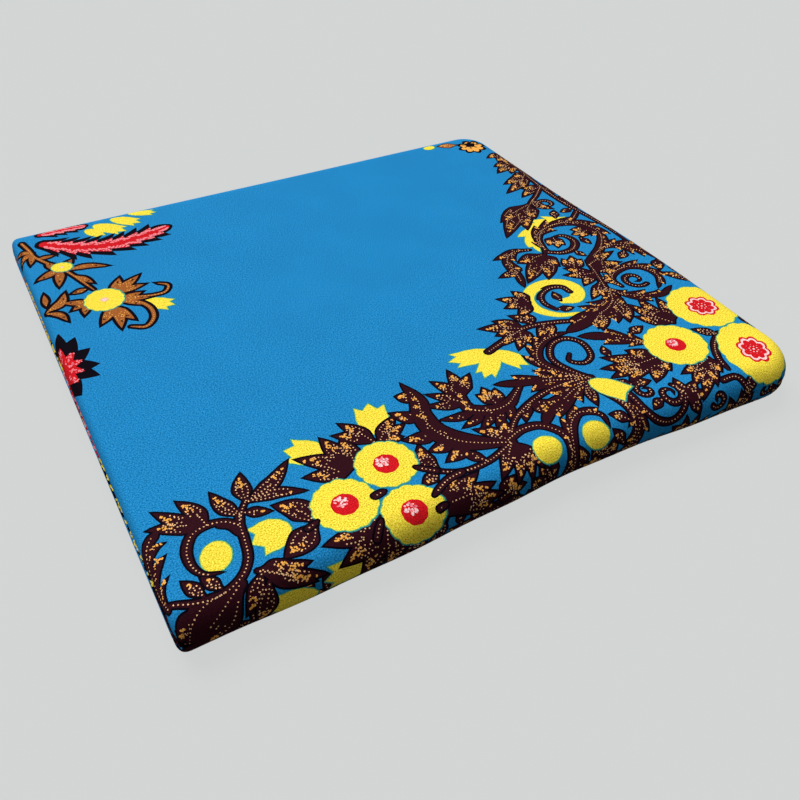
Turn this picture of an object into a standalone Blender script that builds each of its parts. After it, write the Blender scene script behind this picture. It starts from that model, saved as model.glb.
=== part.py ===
"""One length of printed cotton, folded flat into a bundle that lies on its underside.

Metres, +Z up. The origin is under the middle of the bundle, on the surface it lies on, and the front
edge, which the outermost ply rolls over, faces -Y. The bundle is a stack of nested plies round a core.
Every ply is a wall between two shells, and each shell is a stack of rounded-rectangle rings, so that
plies follow each other at a constant gap. A ring's place is its level: 1 is the top panel, -1 is the
underside and 0 is half-way down the edge. Round the left, right and back edges the plies end in lips,
one below the other, and the next ply stands out under each lip.
"""

import math

import bmesh
import bpy

# The cut, and how often it is folded each way.
CLOTH_LENGTH = 5.486
CLOTH_WIDTH = 1.168
FOLDS_ACROSS = 4
FOLDS_ALONG = 20

WIDTH = CLOTH_WIDTH / FOLDS_ACROSS
DEPTH = CLOTH_LENGTH / FOLDS_ALONG
HEIGHT = 0.021
CROWN = 0.0005

WALL = 0.0012
GAP = 0.0003
PITCH = WALL + GAP
PLIES = 3

# How far each edge of the bundle rounds in from its widest line, and how square that rounding is.
EDGES = {
    "front": {"depth": 0.0105, "power": 2.0},
    "right": {"depth": 0.0095, "power": 2.2},
    "back": {"depth": 0.0110, "power": 2.2},
    "left": {"depth": 0.0060, "power": 3.0},
}

# The corners in plan, in order round the bundle from the front left, with the edge on either side.
CORNERS = (
    {"radius": 0.0045, "before": "left", "after": "front", "x": -1, "y": -1},
    {"radius": 0.0220, "before": "front", "after": "right", "x": 1, "y": -1},
    {"radius": 0.0180, "before": "right", "after": "back", "x": 1, "y": 1},
    {"radius": 0.0060, "before": "back", "after": "left", "x": -1, "y": 1},
)
SMALLEST_RADIUS = 0.0005
CORNER_STEPS = 5
STRAIGHT_STEPS = {"front": 8, "right": 6, "back": 8, "left": 6}

# Height above the surface of the end of each ply's upper and lower lip, from the outermost ply in.
LIPS = (
    {"upper": 0.0160, "lower": 0.0036},
    {"upper": 0.0141, "lower": 0.0055},
    {"upper": 0.0123, "lower": 0.0073},
)
LEDGE = 0.0014
TOP_RINGS = 5
PANEL_INSETS = (0.030, 0.070)

# The grooves between the hidden layers, which the core shows between the innermost lips.
LAYER_GROOVE = 0.0009
BACK_GROOVE = 0.0032
GROOVE_HALF_HEIGHT = 0.0005

# How much of the front roll, as a share of its half height, the closed end of the side opening keeps.
ROLL_MOUTH = 0.08

COLOURS = {
    "outer_ply": (0.021, 0.230, 0.552),
    "second_ply": (0.620, 0.330, 0.050),
    "third_ply": (0.520, 0.050, 0.070),
    "folded_core": (0.045, 0.020, 0.030),
}
COTTON_ROUGHNESS = 0.85


def level_of(height):
    """The level of a point at this height on the bundle's own outer surface."""
    edge_height = HEIGHT - CROWN
    return 2.0 * height / edge_height - 1.0


def side_levels():
    """The levels of the rings along the left, right and back edges, from the top panel down."""
    first = math.asin(level_of(LIPS[0]["upper"]))
    angles = [math.pi / 2 + (first - math.pi / 2) * i / TOP_RINGS for i in range(TOP_RINGS)]
    upper = [math.sin(angle) for angle in angles]
    for lip in LIPS:
        upper += [level_of(lip["upper"]), level_of(lip["upper"] - LEDGE)]
    lower = []
    for lip in reversed(LIPS):
        lower += [level_of(lip["lower"] + LEDGE), level_of(lip["lower"])]
    last = math.asin(level_of(LIPS[0]["lower"]))
    angles = [last + (-math.pi / 2 - last) * (i + 1) / TOP_RINGS for i in range(TOP_RINGS)]
    lower += [math.sin(angle) for angle in angles]
    middle = level_of(HEIGHT / 2)
    groove = GROOVE_HALF_HEIGHT / (HEIGHT / 2)
    return upper + [middle + groove, middle, middle - groove] + lower


SIDE_LEVELS = side_levels()
FIRST_LIP = TOP_RINGS
LAST_LIP = len(SIDE_LEVELS) - 1 - TOP_RINGS
MIDDLE_RING = len(SIDE_LEVELS) // 2


def front_levels():
    """The levels of the same rings round the front roll, where the lips' rings close up to its middle."""
    between = LAST_LIP - FIRST_LIP
    levels = []
    for ring in range(len(SIDE_LEVELS)):
        if ring < FIRST_LIP:
            levels.append(math.sin(math.pi / 2 * (1 - ring / FIRST_LIP) + ROLL_MOUTH * ring / FIRST_LIP))
        elif ring > LAST_LIP:
            after = (ring - LAST_LIP) / TOP_RINGS
            levels.append(math.sin(-math.pi / 2 * after - ROLL_MOUTH * (1 - after)))
        else:
            levels.append(ROLL_MOUTH * (1 - 2 * (ring - FIRST_LIP) / between))
    return levels


FRONT_LEVELS = front_levels()


def inset(edge, level, under):
    """How far in from the widest line the shell lies at this level, that far under the outer surface."""
    depth = EDGES[edge]["depth"]
    power = EDGES[edge]["power"]
    reach = (1.0 - min(1.0, abs(level)) ** power) ** (1.0 / power)
    return depth - (depth - under) * reach


def ring_under(layer, ring, edge):
    """How far under the outer surface the ply's outer shell lies: a whole pitch for each ply over it."""
    if edge == "front":
        return PITCH * layer
    covering = 0
    for lip in range(layer):
        start = FIRST_LIP + 2 * lip
        end = LAST_LIP - 2 * lip
        covering += ring <= start or ring >= end
    under = PITCH * covering
    if layer == PLIES and ring == MIDDLE_RING:
        under += BACK_GROOVE if edge == "back" else LAYER_GROOVE
    return under


def ring_points(layer, ring, thickness):
    """The points of one ring of a shell, round the bundle from the left end of the front left corner."""
    half = (HEIGHT - CROWN) / 2
    panel_under = PITCH * layer + thickness
    lines = {}
    for edge in EDGES:
        level = FRONT_LEVELS[ring] if edge == "front" else SIDE_LEVELS[ring]
        under = ring_under(layer, ring, edge) + thickness
        lines[edge] = {"inset": inset(edge, level, under), "z": half + (half - panel_under) * level}
    return outline(lines)


def outline(lines):
    """A rounded rectangle through the four lines, as points at even steps along its straights and arcs."""
    left = -WIDTH / 2 + lines["left"]["inset"]
    right = WIDTH / 2 - lines["right"]["inset"]
    front = -DEPTH / 2 + lines["front"]["inset"]
    back = DEPTH / 2 - lines["back"]["inset"]
    arcs = []
    for number, corner in enumerate(CORNERS):
        first, second = lines[corner["before"]], lines[corner["after"]]
        radius = max(SMALLEST_RADIUS, corner["radius"] - (first["inset"] + second["inset"]) / 2)
        x = (left if corner["x"] < 0 else right) - corner["x"] * radius
        y = (front if corner["y"] < 0 else back) - corner["y"] * radius
        start = math.pi + number * math.pi / 2
        arc = []
        for step in range(CORNER_STEPS + 1):
            share = step / CORNER_STEPS
            angle = start + share * math.pi / 2
            z = first["z"] + (second["z"] - first["z"]) * share
            arc.append((x + radius * math.cos(angle), y + radius * math.sin(angle), z))
        arcs.append(arc)
    points = []
    for number, corner in enumerate(CORNERS):
        points += arcs[number]
        start, end = arcs[number][-1], arcs[(number + 1) % len(arcs)][0]
        steps = STRAIGHT_STEPS[corner["after"]]
        for step in range(1, steps):
            share = step / steps
            points.append(tuple(a + (b - a) * share for a, b in zip(start, end)))
    return points


def on_front(index):
    """Whether this point of a ring lies on the front edge's straight."""
    first = CORNER_STEPS
    return first <= index <= first + STRAIGHT_STEPS["front"]


def panel_rings(layer, thickness, top):
    """The rings inside a flat panel, each a smaller copy of the panel's own edge."""
    ring = 0 if top else len(SIDE_LEVELS) - 1
    edge = ring_points(layer, ring, thickness)
    rings = []
    for number, distance in enumerate(PANEL_INSETS):
        rise = CROWN * (number + 1) / len(PANEL_INSETS) if top else 0.0
        across = 1.0 - 2.0 * distance / WIDTH
        along = 1.0 - 2.0 * distance / DEPTH
        rings.append([(x * across, y * along, z + rise) for x, y, z in edge])
    return rings


def shell_rings(layer, thickness):
    """All rings of a shell from the middle of the top panel to the middle of the underside."""
    rings = list(reversed(panel_rings(layer, thickness, True)))
    rings += [ring_points(layer, ring, thickness) for ring in range(len(SIDE_LEVELS))]
    return rings + panel_rings(layer, thickness, False)


def add_shell(mesh, layer, thickness, kept, inward):
    """Adds a shell's points and faces, leaving out the faces that kept() turns down."""
    rings = [[mesh.verts.new(point) for point in ring] for ring in shell_rings(layer, thickness)]

    def face(corners):
        mesh.faces.new(corners[::-1] if inward else corners)

    face(rings[0])
    for number in range(len(rings) - 1):
        upper, lower = rings[number], rings[number + 1]
        for index in range(len(upper)):
            after = (index + 1) % len(upper)
            if kept(number - len(PANEL_INSETS), index, after):
                face([upper[index], lower[index], lower[after], upper[after]])
    face(rings[-1][::-1])
    return rings


def add_rim(mesh, outer, inner, kept):
    """Joins the two shells of a ply round the edge of the opening between its lips."""
    count = len(outer[0])

    def open_face(number, index):
        return not kept(number - len(PANEL_INSETS), index % count, (index + 1) % count)

    def wall(number, index, next_number, next_index):
        first = [outer[number][index], inner[number][index]]
        second = [inner[next_number][next_index], outer[next_number][next_index]]
        mesh.faces.new(first + second)

    for number in range(1, len(outer)):
        for index in range(count):
            after = (index + 1) % count
            above, below = open_face(number - 1, index), open_face(number, index)
            if below and not above:
                wall(number, index, number, after)
            elif above and not below:
                wall(number, after, number, index)
    for number in range(len(outer) - 1):
        for index in range(count):
            before, here = open_face(number, index - 1), open_face(number, index)
            if here and not before:
                wall(number + 1, index, number, index)
            elif before and not here:
                wall(number, index, number + 1, index)


def make_object(name, mesh, collection):
    """A named object from the mesh, with its own cotton material."""
    data = bpy.data.meshes.new(name)
    mesh.to_mesh(data)
    mesh.free()
    data.shade_smooth()
    data.set_sharp_from_angle(angle=math.radians(40))
    material = bpy.data.materials.new(name + "_cotton")
    material.use_nodes = True
    shader = material.node_tree.nodes["Principled BSDF"]
    shader.inputs["Base Color"].default_value = (*COLOURS[name], 1.0)
    shader.inputs["Roughness"].default_value = COTTON_ROUGHNESS
    shader.inputs["Metallic"].default_value = 0.0
    data.materials.append(material)
    collection.objects.link(bpy.data.objects.new(name, data))


def make_ply(name, layer, collection):
    """A ply: closed over the top panel, the front roll and the underside, and open between its lips."""
    first = FIRST_LIP + 2 * layer
    last = LAST_LIP - 2 * layer

    def kept(ring, index, after):
        in_mouth = first <= ring < last
        return not in_mouth or (on_front(index) and on_front(after))

    mesh = bmesh.new()
    outer = add_shell(mesh, layer, 0.0, kept, False)
    inner = add_shell(mesh, layer, WALL, kept, True)
    add_rim(mesh, outer, inner, kept)
    bmesh.ops.delete(mesh, geom=[vert for vert in mesh.verts if not vert.link_faces], context="VERTS")
    make_object(name, mesh, collection)


def make_core(name, collection):
    """The hidden layers: one rounded solid inside the plies, grooved where its edge shows."""
    mesh = bmesh.new()
    add_shell(mesh, PLIES, 0.0, lambda ring, index, after: True, False)
    make_object(name, mesh, collection)


def main():
    for old in list(bpy.data.objects):
        bpy.data.objects.remove(old, do_unlink=True)
    collection = bpy.data.collections.new("folded_batik_fabric")
    bpy.context.scene.collection.children.link(collection)
    for layer, name in enumerate(("outer_ply", "second_ply", "third_ply")):
        make_ply(name, layer, collection)
    make_core("folded_core", collection)


main()
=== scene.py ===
import math
import random

import bpy
import numpy as np
from mathutils import Matrix, Vector
from mathutils.geometry import delaunay_2d_cdt


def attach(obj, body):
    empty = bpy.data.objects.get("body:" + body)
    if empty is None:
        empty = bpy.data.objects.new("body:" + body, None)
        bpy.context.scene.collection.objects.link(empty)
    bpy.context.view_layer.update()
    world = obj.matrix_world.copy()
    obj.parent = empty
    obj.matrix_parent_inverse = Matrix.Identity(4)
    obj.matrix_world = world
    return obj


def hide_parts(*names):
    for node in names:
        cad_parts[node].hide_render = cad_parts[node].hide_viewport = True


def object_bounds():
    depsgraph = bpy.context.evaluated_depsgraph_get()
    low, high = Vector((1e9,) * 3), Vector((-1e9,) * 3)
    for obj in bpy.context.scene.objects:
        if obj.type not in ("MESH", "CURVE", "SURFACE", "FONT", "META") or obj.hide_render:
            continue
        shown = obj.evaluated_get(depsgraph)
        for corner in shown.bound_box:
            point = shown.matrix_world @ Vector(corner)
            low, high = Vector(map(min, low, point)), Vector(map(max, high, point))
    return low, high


# A length of batik cotton, folded flat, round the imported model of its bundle. The cloth's form and its
# print are worked out in millimetres. Flat cloth coordinates u and v are x and y on the top panel, and
# run on over the bundle's edges by the length of cloth, so a motif rolls over an edge with the cloth.
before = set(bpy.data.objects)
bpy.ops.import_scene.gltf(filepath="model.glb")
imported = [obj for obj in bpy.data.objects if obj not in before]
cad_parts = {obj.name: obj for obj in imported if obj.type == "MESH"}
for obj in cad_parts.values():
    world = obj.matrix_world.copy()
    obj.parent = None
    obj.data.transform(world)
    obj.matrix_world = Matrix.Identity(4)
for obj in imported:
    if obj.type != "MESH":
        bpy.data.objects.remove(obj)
CAD_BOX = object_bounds()
MM = 0.001

WIDTH = (CAD_BOX[1].x - CAD_BOX[0].x) / MM
DEPTH = (CAD_BOX[1].y - CAD_BOX[0].y) / MM
CROWN = 0.5
HALF = ((CAD_BOX[1].z - CAD_BOX[0].z) / MM - CROWN) / 2
CROWN_REACH = 70.0

# How far each edge rounds in from the widest line, and how square that rounding is.
LEFT_EDGE, RIGHT_EDGE, FRONT_EDGE, BACK_EDGE = range(4)
EDGES = (
    {"depth": 6.0, "power": 3.0},
    {"depth": 9.5, "power": 2.2},
    {"depth": 10.5, "power": 2.0},
    {"depth": 11.0, "power": 2.2},
)
CORNERS = (
    {"x": -1, "y": -1, "radius": 4.5, "squareness": 4.0},
    {"x": -1, "y": 1, "radius": 6.0, "squareness": 3.5},
    {"x": 1, "y": 1, "radius": 18.0, "squareness": 2.0},
    {"x": 1, "y": -1, "radius": 22.0, "squareness": 2.0},
)
SMALLEST_RADIUS = 0.5

# The plies lie a pitch apart. Each ends in a lip along the side edges, at this height, where it turns
# in, and the next ply stands out under it. Ply 3 is the folded core.
PITCH = 1.5
LIP_HEIGHTS = (16.0, 14.1, 12.3)
LEDGE = 1.4
LIP_TURN_RADIUS = 0.55
TUCK_TURN = 0.11
CORE = 3

LEFT = -WIDTH / 2 + EDGES[LEFT_EDGE]["depth"]
RIGHT = WIDTH / 2 - EDGES[RIGHT_EDGE]["depth"]
FRONT = -DEPTH / 2 + EDGES[FRONT_EDGE]["depth"]
BACK = DEPTH / 2 - EDGES[BACK_EDGE]["depth"]

TURN_SAMPLES = 400
HALVINGS = 26
LIP_PROBE = 0.01
TINY = 1e-9


def smooth(value):
    """A soft step from 0 to 1."""
    value = np.clip(value, 0.0, 1.0)
    return value * value * (3.0 - 2.0 * value)


def corner_edges(corner):
    """The two edges that meet at a corner: the one across x, then the one across y."""
    across = LEFT_EDGE if corner["x"] < 0 else RIGHT_EDGE
    along = FRONT_EDGE if corner["y"] < 0 else BACK_EDGE
    return across, along


def corner_radius(corner):
    """The radius of the flat panel's own corner."""
    across, along = corner_edges(corner)
    rounding = (EDGES[across]["depth"] + EDGES[along]["depth"]) / 2
    return max(SMALLEST_RADIUS, corner["radius"] - rounding)


def corner_centre(corner):
    """The centre of the flat panel's corner."""
    radius = corner_radius(corner)
    x = (LEFT if corner["x"] < 0 else RIGHT) - corner["x"] * radius
    y = (FRONT if corner["y"] < 0 else BACK) - corner["y"] * radius
    return np.array([x, y])


class Ply:
    """One ply of the bundle. A place down its edge is a turn: 0 at the top panel, 1 at half height."""

    def __init__(self, number):
        turn = np.linspace(0.0, 1.0, TURN_SAMPLES)
        level = np.cos(turn * math.pi / 2)
        self.height = HALF + (HALF - PITCH * number) * level
        self.top = self.height[0]
        out, arc = [], []
        for index, edge in enumerate(EDGES):
            reach = (1.0 - level ** edge["power"]) ** (1.0 / edge["power"])
            covered = np.full(TURN_SAMPLES, PITCH * number)
            if index != FRONT_EDGE:
                for lip in LIP_HEIGHTS[:number]:
                    covered -= PITCH * smooth((lip - self.height) / LEDGE)
            out.append((edge["depth"] - covered) * reach)
            steps = np.hypot(np.diff(out[-1]), np.diff(self.height))
            arc.append(np.concatenate([[0.0], np.cumsum(steps)]))
        self.out = np.array(out)
        self.arc = np.array(arc)
        lip = LIP_HEIGHTS[min(number, len(LIP_HEIGHTS) - 1)]
        self.lip = math.acos(lip / HALF - 1.0) / (math.pi / 2)
        self.middle = FRONT - self.arc[FRONT_EDGE][-1]

    def look_up(self, table, edge, turn):
        """The table's value for each point's edge and turn."""
        place = np.clip(turn, 0.0, 1.0) * (TURN_SAMPLES - 1)
        low = np.minimum(place.astype(int), TURN_SAMPLES - 2)
        part = place - low
        return table[edge, low] * (1.0 - part) + table[edge, low + 1] * part

    def lip_turn(self, front_corner, share):
        """Where the ply ends in its lip. Over a front corner the mouth closes towards the front roll."""
        return np.where(front_corner, self.lip + (1.0 - self.lip) * share, self.lip)

    def end_turn(self, front_corner, share):
        """Where the cloth that turns in under the lip ends."""
        tuck = TUCK_TURN * np.where(front_corner, 1.0 - share, 1.0)
        return np.minimum(1.0, self.lip_turn(front_corner, share) + tuck)

    def spots(self, flat):
        """The edge or corner that each flat point belongs to, and how far beyond the panel it lies."""
        count = len(flat)
        spot = {
            "foot": flat.copy(),
            "sign": np.zeros((count, 2)),
            "beyond": np.zeros((count, 2)),
            "edge": np.zeros((count, 2), int),
            "radius": np.zeros(count),
            "power": np.full(count, 2.0),
            "front_corner": np.zeros(count, bool),
            "outside": np.zeros(count, bool),
        }
        lines = ((LEFT_EDGE, 0, -1, LEFT), (RIGHT_EDGE, 0, 1, RIGHT), (FRONT_EDGE, 1, -1, FRONT),
                 (BACK_EDGE, 1, 1, BACK))
        for edge, axis, sign, line in lines:
            here = (flat[:, axis] - line) * sign > 0
            spot["foot"][here, axis] = line
            spot["sign"][here] = 0.0
            spot["sign"][here, axis] = sign
            spot["beyond"][here] = 0.0
            spot["beyond"][here, axis] = (flat[here, axis] - line) * sign
            spot["edge"][here] = edge
            spot["outside"] |= here
        for corner in CORNERS:
            sign = np.array([corner["x"], corner["y"]])
            centre = corner_centre(corner)
            beyond = (flat - centre) * sign
            here = (beyond > 0).all(axis=1)
            power = corner["squareness"]
            radius = corner_radius(corner)
            spot["foot"][here] = centre
            spot["sign"][here] = sign
            spot["beyond"][here] = beyond[here]
            spot["edge"][here] = corner_edges(corner)
            spot["radius"][here] = radius
            spot["power"][here] = power
            spot["front_corner"][here] = corner["y"] < 0
            spot["outside"][here] = (beyond[here] ** power).sum(axis=1) > radius ** power
        return {key: value[spot["outside"]] if key != "outside" else value for key, value in spot.items()}

    def shares(self, spot, turn):
        """Each point's distance beyond the panel, as a share of the cloth's length down to this turn."""
        arcs = [self.look_up(self.arc, spot["edge"][:, axis], turn) + spot["radius"] for axis in (0, 1)]
        return spot["beyond"] / np.maximum(np.stack(arcs, axis=1), TINY)

    def directions(self, spot, turn):
        """Which way round its corner each point lies, scaled to the corner's squareness."""
        direction = self.shares(spot, turn)
        size = (direction ** spot["power"][:, None]).sum(axis=1) ** (1 / spot["power"])
        return direction / size[:, None]

    def place(self, spot, direction, turn):
        """The folded points at these turns, in the directions given, as x, y and z."""
        out = [self.look_up(self.out, spot["edge"][:, axis], turn) + spot["radius"] for axis in (0, 1)]
        x = spot["foot"][:, 0] + spot["sign"][:, 0] * direction[:, 0] * out[0]
        y = spot["foot"][:, 1] + spot["sign"][:, 1] * direction[:, 1] * out[1]
        z = np.interp(turn, np.linspace(0.0, 1.0, TURN_SAMPLES), self.height)
        return np.stack([x, y, z], axis=1)

    def fold(self, flat):
        """Where each flat point lies once the cloth is folded round the bundle."""
        under = flat[:, 1] < self.middle
        upper = flat.copy()
        upper[under, 1] = 2.0 * self.middle - flat[under, 1]
        inset = np.minimum.reduce(
            [upper[:, 0] - LEFT, RIGHT - upper[:, 0], upper[:, 1] - FRONT, BACK - upper[:, 1]]
        )
        crown = np.where(under, 0.0, CROWN * smooth(inset / CROWN_REACH))
        folded = np.column_stack([upper, self.top + crown])
        spot = self.spots(upper)
        outside = spot.pop("outside")
        low, high = np.zeros(outside.sum()), np.ones(outside.sum())
        for _ in range(HALVINGS):
            turn = (low + high) / 2
            share = self.shares(spot, turn)
            further = (share ** spot["power"][:, None]).sum(axis=1) > 1.0
            low = np.where(further, turn, low)
            high = np.where(further, high, turn)
        direction = self.directions(spot, turn)
        half_power = spot["power"] / 2
        angle = np.arctan2(direction[:, 1] ** half_power, direction[:, 0] ** half_power)
        share = angle / (math.pi / 2)
        lip = self.lip_turn(spot["front_corner"], share)
        lip = np.where(spot["edge"][:, 0] == FRONT_EDGE, 1.0, lip)
        points = self.place(spot, direction, np.minimum(turn, lip))
        tucked = turn > lip
        points[tucked] = self.tuck(spot, direction, share, turn, lip, tucked)
        folded[outside] = points
        folded[under, 2] = 2.0 * HALF - folded[under, 2]
        return folded

    def tuck(self, spot, direction, share, turn, lip, tucked):
        """The cloth beyond the lip: it turns in on a small radius and runs on under the ply."""
        part = {key: value[tucked] for key, value in spot.items()}
        direction, share, turn, lip = direction[tucked], share[tucked], turn[tucked], lip[tucked]
        lengths = []
        for place in (turn, lip):
            arcs = [self.look_up(self.arc, part["edge"][:, axis], place) for axis in (0, 1)]
            lengths.append(arcs[0] * (1.0 - share) + arcs[1] * share)
        beyond = lengths[0] - lengths[1]
        end = self.place(part, direction, lip)
        before = self.place(part, direction, lip - LIP_PROBE)
        outward = part["sign"] * direction
        outward /= np.linalg.norm(outward, axis=1)[:, None]
        step = end - before
        across = (step[:, :2] * outward).sum(axis=1)
        size = np.hypot(across, step[:, 2])
        across, down = across / size, step[:, 2] / size
        tangent = np.column_stack([outward * across[:, None], down])
        inward = np.column_stack([outward * down[:, None], -across])
        angle = np.minimum(beyond / LIP_TURN_RADIUS, math.pi / 2)
        straight = np.maximum(beyond - LIP_TURN_RADIUS * math.pi / 2, 0.0)
        along = LIP_TURN_RADIUS * np.sin(angle)
        inside = LIP_TURN_RADIUS * (1.0 - np.cos(angle)) + straight
        return end + tangent * along[:, None] + inward * inside[:, None]


# The flat cloth is laid out in rows round the panel, from its edge out to the end of the tucked cloth.
ROW_SHARES = (0.0, 0.06, 0.14, 0.24, 0.34, 0.45, 0.56, 0.67, 0.78, 0.89, 1.0)
TUCK_SHARES = (0.15, 0.35, 0.6, 1.0)
CORNER_SHARES = 13
PANEL_STEP = 8.0


def rim_points(ply, turn_of, spacing):
    """A loop of flat points round the upper half of the ply, from the front roll's left end round."""
    loop = []
    for number, corner in enumerate(CORNERS):
        across, along = corner_edges(corner)
        in_front = corner["y"] < 0
        shares = np.linspace(0.0, 1.0, CORNER_SHARES)
        if corner["x"] * corner["y"] > 0:
            shares = shares[::-1]
        turn = turn_of(in_front, shares)
        angle = shares * math.pi / 2
        exponent = 2.0 / corner["squareness"]
        radius = corner_radius(corner)
        reach_x = (radius + ply.look_up(ply.arc, across, turn)) * np.cos(angle) ** exponent
        reach_y = (radius + ply.look_up(ply.arc, along, turn)) * np.sin(angle) ** exponent
        points = corner_centre(corner) + np.column_stack([corner["x"] * reach_x, corner["y"] * reach_y])
        if loop:
            gap = points[0] - loop[-1]
            count = int(np.hypot(*gap) // spacing)
            loop += [loop[-1] + gap * (step + 1) / (count + 1) for step in range(count)]
        loop += list(points)
    return np.array(loop)


def flat_outline(ply, turn_of, spacing):
    """The closed outline of the ply's upper half at these turns, in flat coordinates."""
    loop = rim_points(ply, turn_of, spacing)
    count = int((loop[-1][0] - loop[0][0]) // spacing)
    closing = np.linspace(loop[-1], loop[0], count + 2)[1:-1]
    return np.vstack([loop, closing])


def grid_points(ply, spacing):
    """Flat points that carry the folded form: rows round the edges and a grid over the panel."""
    rows = []
    for share in ROW_SHARES:
        rows.append(rim_points(ply, lambda front, place, s=share: s * ply.lip_turn(front, place), spacing))
    for share in TUCK_SHARES[:-1]:
        def tucked(front, place, s=share):
            start = ply.lip_turn(front, place)
            return start + s * (ply.end_turn(front, place) - start)
        rows.append(rim_points(ply, tucked, spacing))
    for share in ROW_SHARES[1:-1]:
        across = np.arange(LEFT, RIGHT, spacing)
        row = FRONT - ply.look_up(ply.arc, FRONT_EDGE, np.full(len(across), share))
        rows.append(np.column_stack([across, row]))
    across = np.arange(LEFT + PANEL_STEP / 2, RIGHT, PANEL_STEP)
    along = np.arange(FRONT + PANEL_STEP / 2, BACK, PANEL_STEP)
    rows.append(np.array([(x, y) for x in across for y in along]))
    return np.vstack(rows)


# How the bundle's edges bow in plan: the front roll inwards and the right edge outwards.
FRONT_BOW = {"most": 4.4, "from": -95.0, "rise": 130.0, "to": 128.0, "fall": 85.0, "reach": 30.0}
RIGHT_BOW = {"most": 2.4, "from": -128.0, "rise": 90.0, "to": 50.0, "fall": 75.0, "reach": 40.0}


def bowed(places):
    """How far each place moves in x and y where the bundle's edges bow."""
    x, y = places[:, 0], places[:, 1]

    def bump(bow, along, beyond):
        swell = smooth((along - bow["from"]) / bow["rise"]) * smooth((bow["to"] - along) / bow["fall"])
        return bow["most"] * swell * smooth(1.0 + beyond / bow["reach"])

    return np.column_stack([bump(RIGHT_BOW, y, x - RIGHT), bump(FRONT_BOW, x, FRONT - y)])


def inside(points, loop):
    """Which points lie inside a closed loop."""
    found = np.zeros(len(points), bool)
    x, y = points[:, 0], points[:, 1]
    for first, second in zip(loop, np.roll(loop, -1, axis=0)):
        if first[1] != second[1]:
            spans = (first[1] > y) != (second[1] > y)
            cut = (second[0] - first[0]) * (y - first[1]) / (second[1] - first[1]) + first[0]
            found ^= spans & (x < cut)
    return found


# The print.

def colour(red, green, blue):
    """A linear colour from one as it looks on screen, 0 to 255."""
    shares = np.array([red, green, blue]) / 255.0
    return np.where(shares <= 0.04045, shares / 12.92, ((shares + 0.055) / 1.055) ** 2.4)


BLUE = colour(32, 135, 196)
NAVY = colour(8, 2, 14)
MAROON = colour(50, 14, 24)
BROWN = colour(166, 96, 44)
ORANGE = colour(252, 180, 84)
PEACH = colour(250, 198, 144)
YELLOW = colour(254, 229, 70)
HALO = colour(120, 190, 110)
TEAL = colour(34, 134, 146)
RED = colour(214, 24, 34)
PINK = colour(248, 140, 150)
BLUSH = colour(255, 214, 214)

# The print is laid down in rounds, and within a round in these levels, each over the one before it.
LEAVES, BLOSSOMS, STALKS = range(3)
RIM, GREEN_RIM, PALE, EDGE, FILL, MARK = range(6)

OUTLINE = 0.8
DOT_SPACING = 1.55
DOT_RADIUS = 0.3
DOT_SIZES = (0.8, 1.2)
LINE_STEP = 0.9
TOOTH_STEP = 0.55
CURVE_SAMPLES = 16
FEWEST_STEPS = 6
SPIRAL_STEP = 22
CURL_END = 0.3
TIP_FULLNESS = 1.7
SMALLEST_TOOTH = 1.3
SHARP_END = 0.3
LONGEST_MITRE = 2.2
THORN_LEAN = 5
ROUND_END = (60, 30, 0, -30, -60)

# A yellow shape's rims: how far each reaches past it, and how far the outer one is out of register.
RIM_REACH = 0.65
HALO_REACH = 0.35
MISFIT = (0.15, -0.15)

# A blade's teeth: their sizes, how they rise to their points, how deep they notch and how far they lean.
TOOTH_SIZES = (0.7, 1.3)
TOOTH_RISE = 1.2
TOOTH_NOTCH = 0.25
TOOTH_LEAN = 0.7

# A blade's rows of dots run at a share of its half-width, up to a share of its length.
NARROWEST_ROWED = 4.5
ROW_ASIDE = 0.66
ROWS_TO = 0.8
SPINE_TO = {"leaf": 0.55}
LONG_SPINE_TO = 0.93

# Ragged patches, as a share of the way out and a share of the half-width there, and the loose dots
# behind them, whose number grows with the width.
CLUMP_DOTS = (0.28, 0.5)
TOOTH_PATCHES = ((0.82, 0.07), (0.7, 0.13), (0.56, 0.18))
TOOTH_PATCH_DOTS = 3
WIDEST_TOOTH_PATCH = 1.3
FEWEST_TOOTH_PLACES = 4
FEWEST_LOOSE = 3
LOOSE_OUT = (0.3, 0.65)
WIDE_TIP_PATCHES = ((0.84, 0.4), (0.75, 0.45), (0.66, 0.5))
NARROW_TIP_PATCHES = ((0.76, 0.4),)
TIP_PATCH_ASIDE = (-0.35, 0.35)
TIP_PATCH_DOTS = 2.6
WIDE_TIP = 2.6
NARROWEST_MARKED = 1.4
SPECKLES = 1.8
SPECKLES_ALONG = (0.4, 0.7)
SPECKLES_ASIDE = (-0.6, 0.6)

# A hand-shaped leaf's fingers: how far they bend, and where their rows of dots start.
FINGER_BEND = (-0.08, 0.08)
FINGER_ROWS_FROM = 0.42

# A bud's side, as shares of its length and width, and its crown: how wide, how domed and how deep cut.
BUD_SIDE = ((0.0, 0.1), (0.12, 0.3), (0.35, 0.46), (0.6, 0.5), (0.8, 0.47))
CROWN_WIDTH = 0.94
CROWN_DOME = 0.12
BUD_NOTCH = 0.82

# A blossom's bulges and how uneven its edge is, and its heart's size as a share of the blossom's.
BULGES = 14
BULGE_DEPTH = 0.05
UNEVEN_EDGE = (-0.16, 0.16)
HEARTS = {"stippled": 0.42, "rosette": 0.42, "oval": 0.33}
BARE_HEART = ((0.22, PEACH), (0.13, BLUSH))
HEART_SIDES = 9
HEART_DEPTH = 0.04

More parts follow.
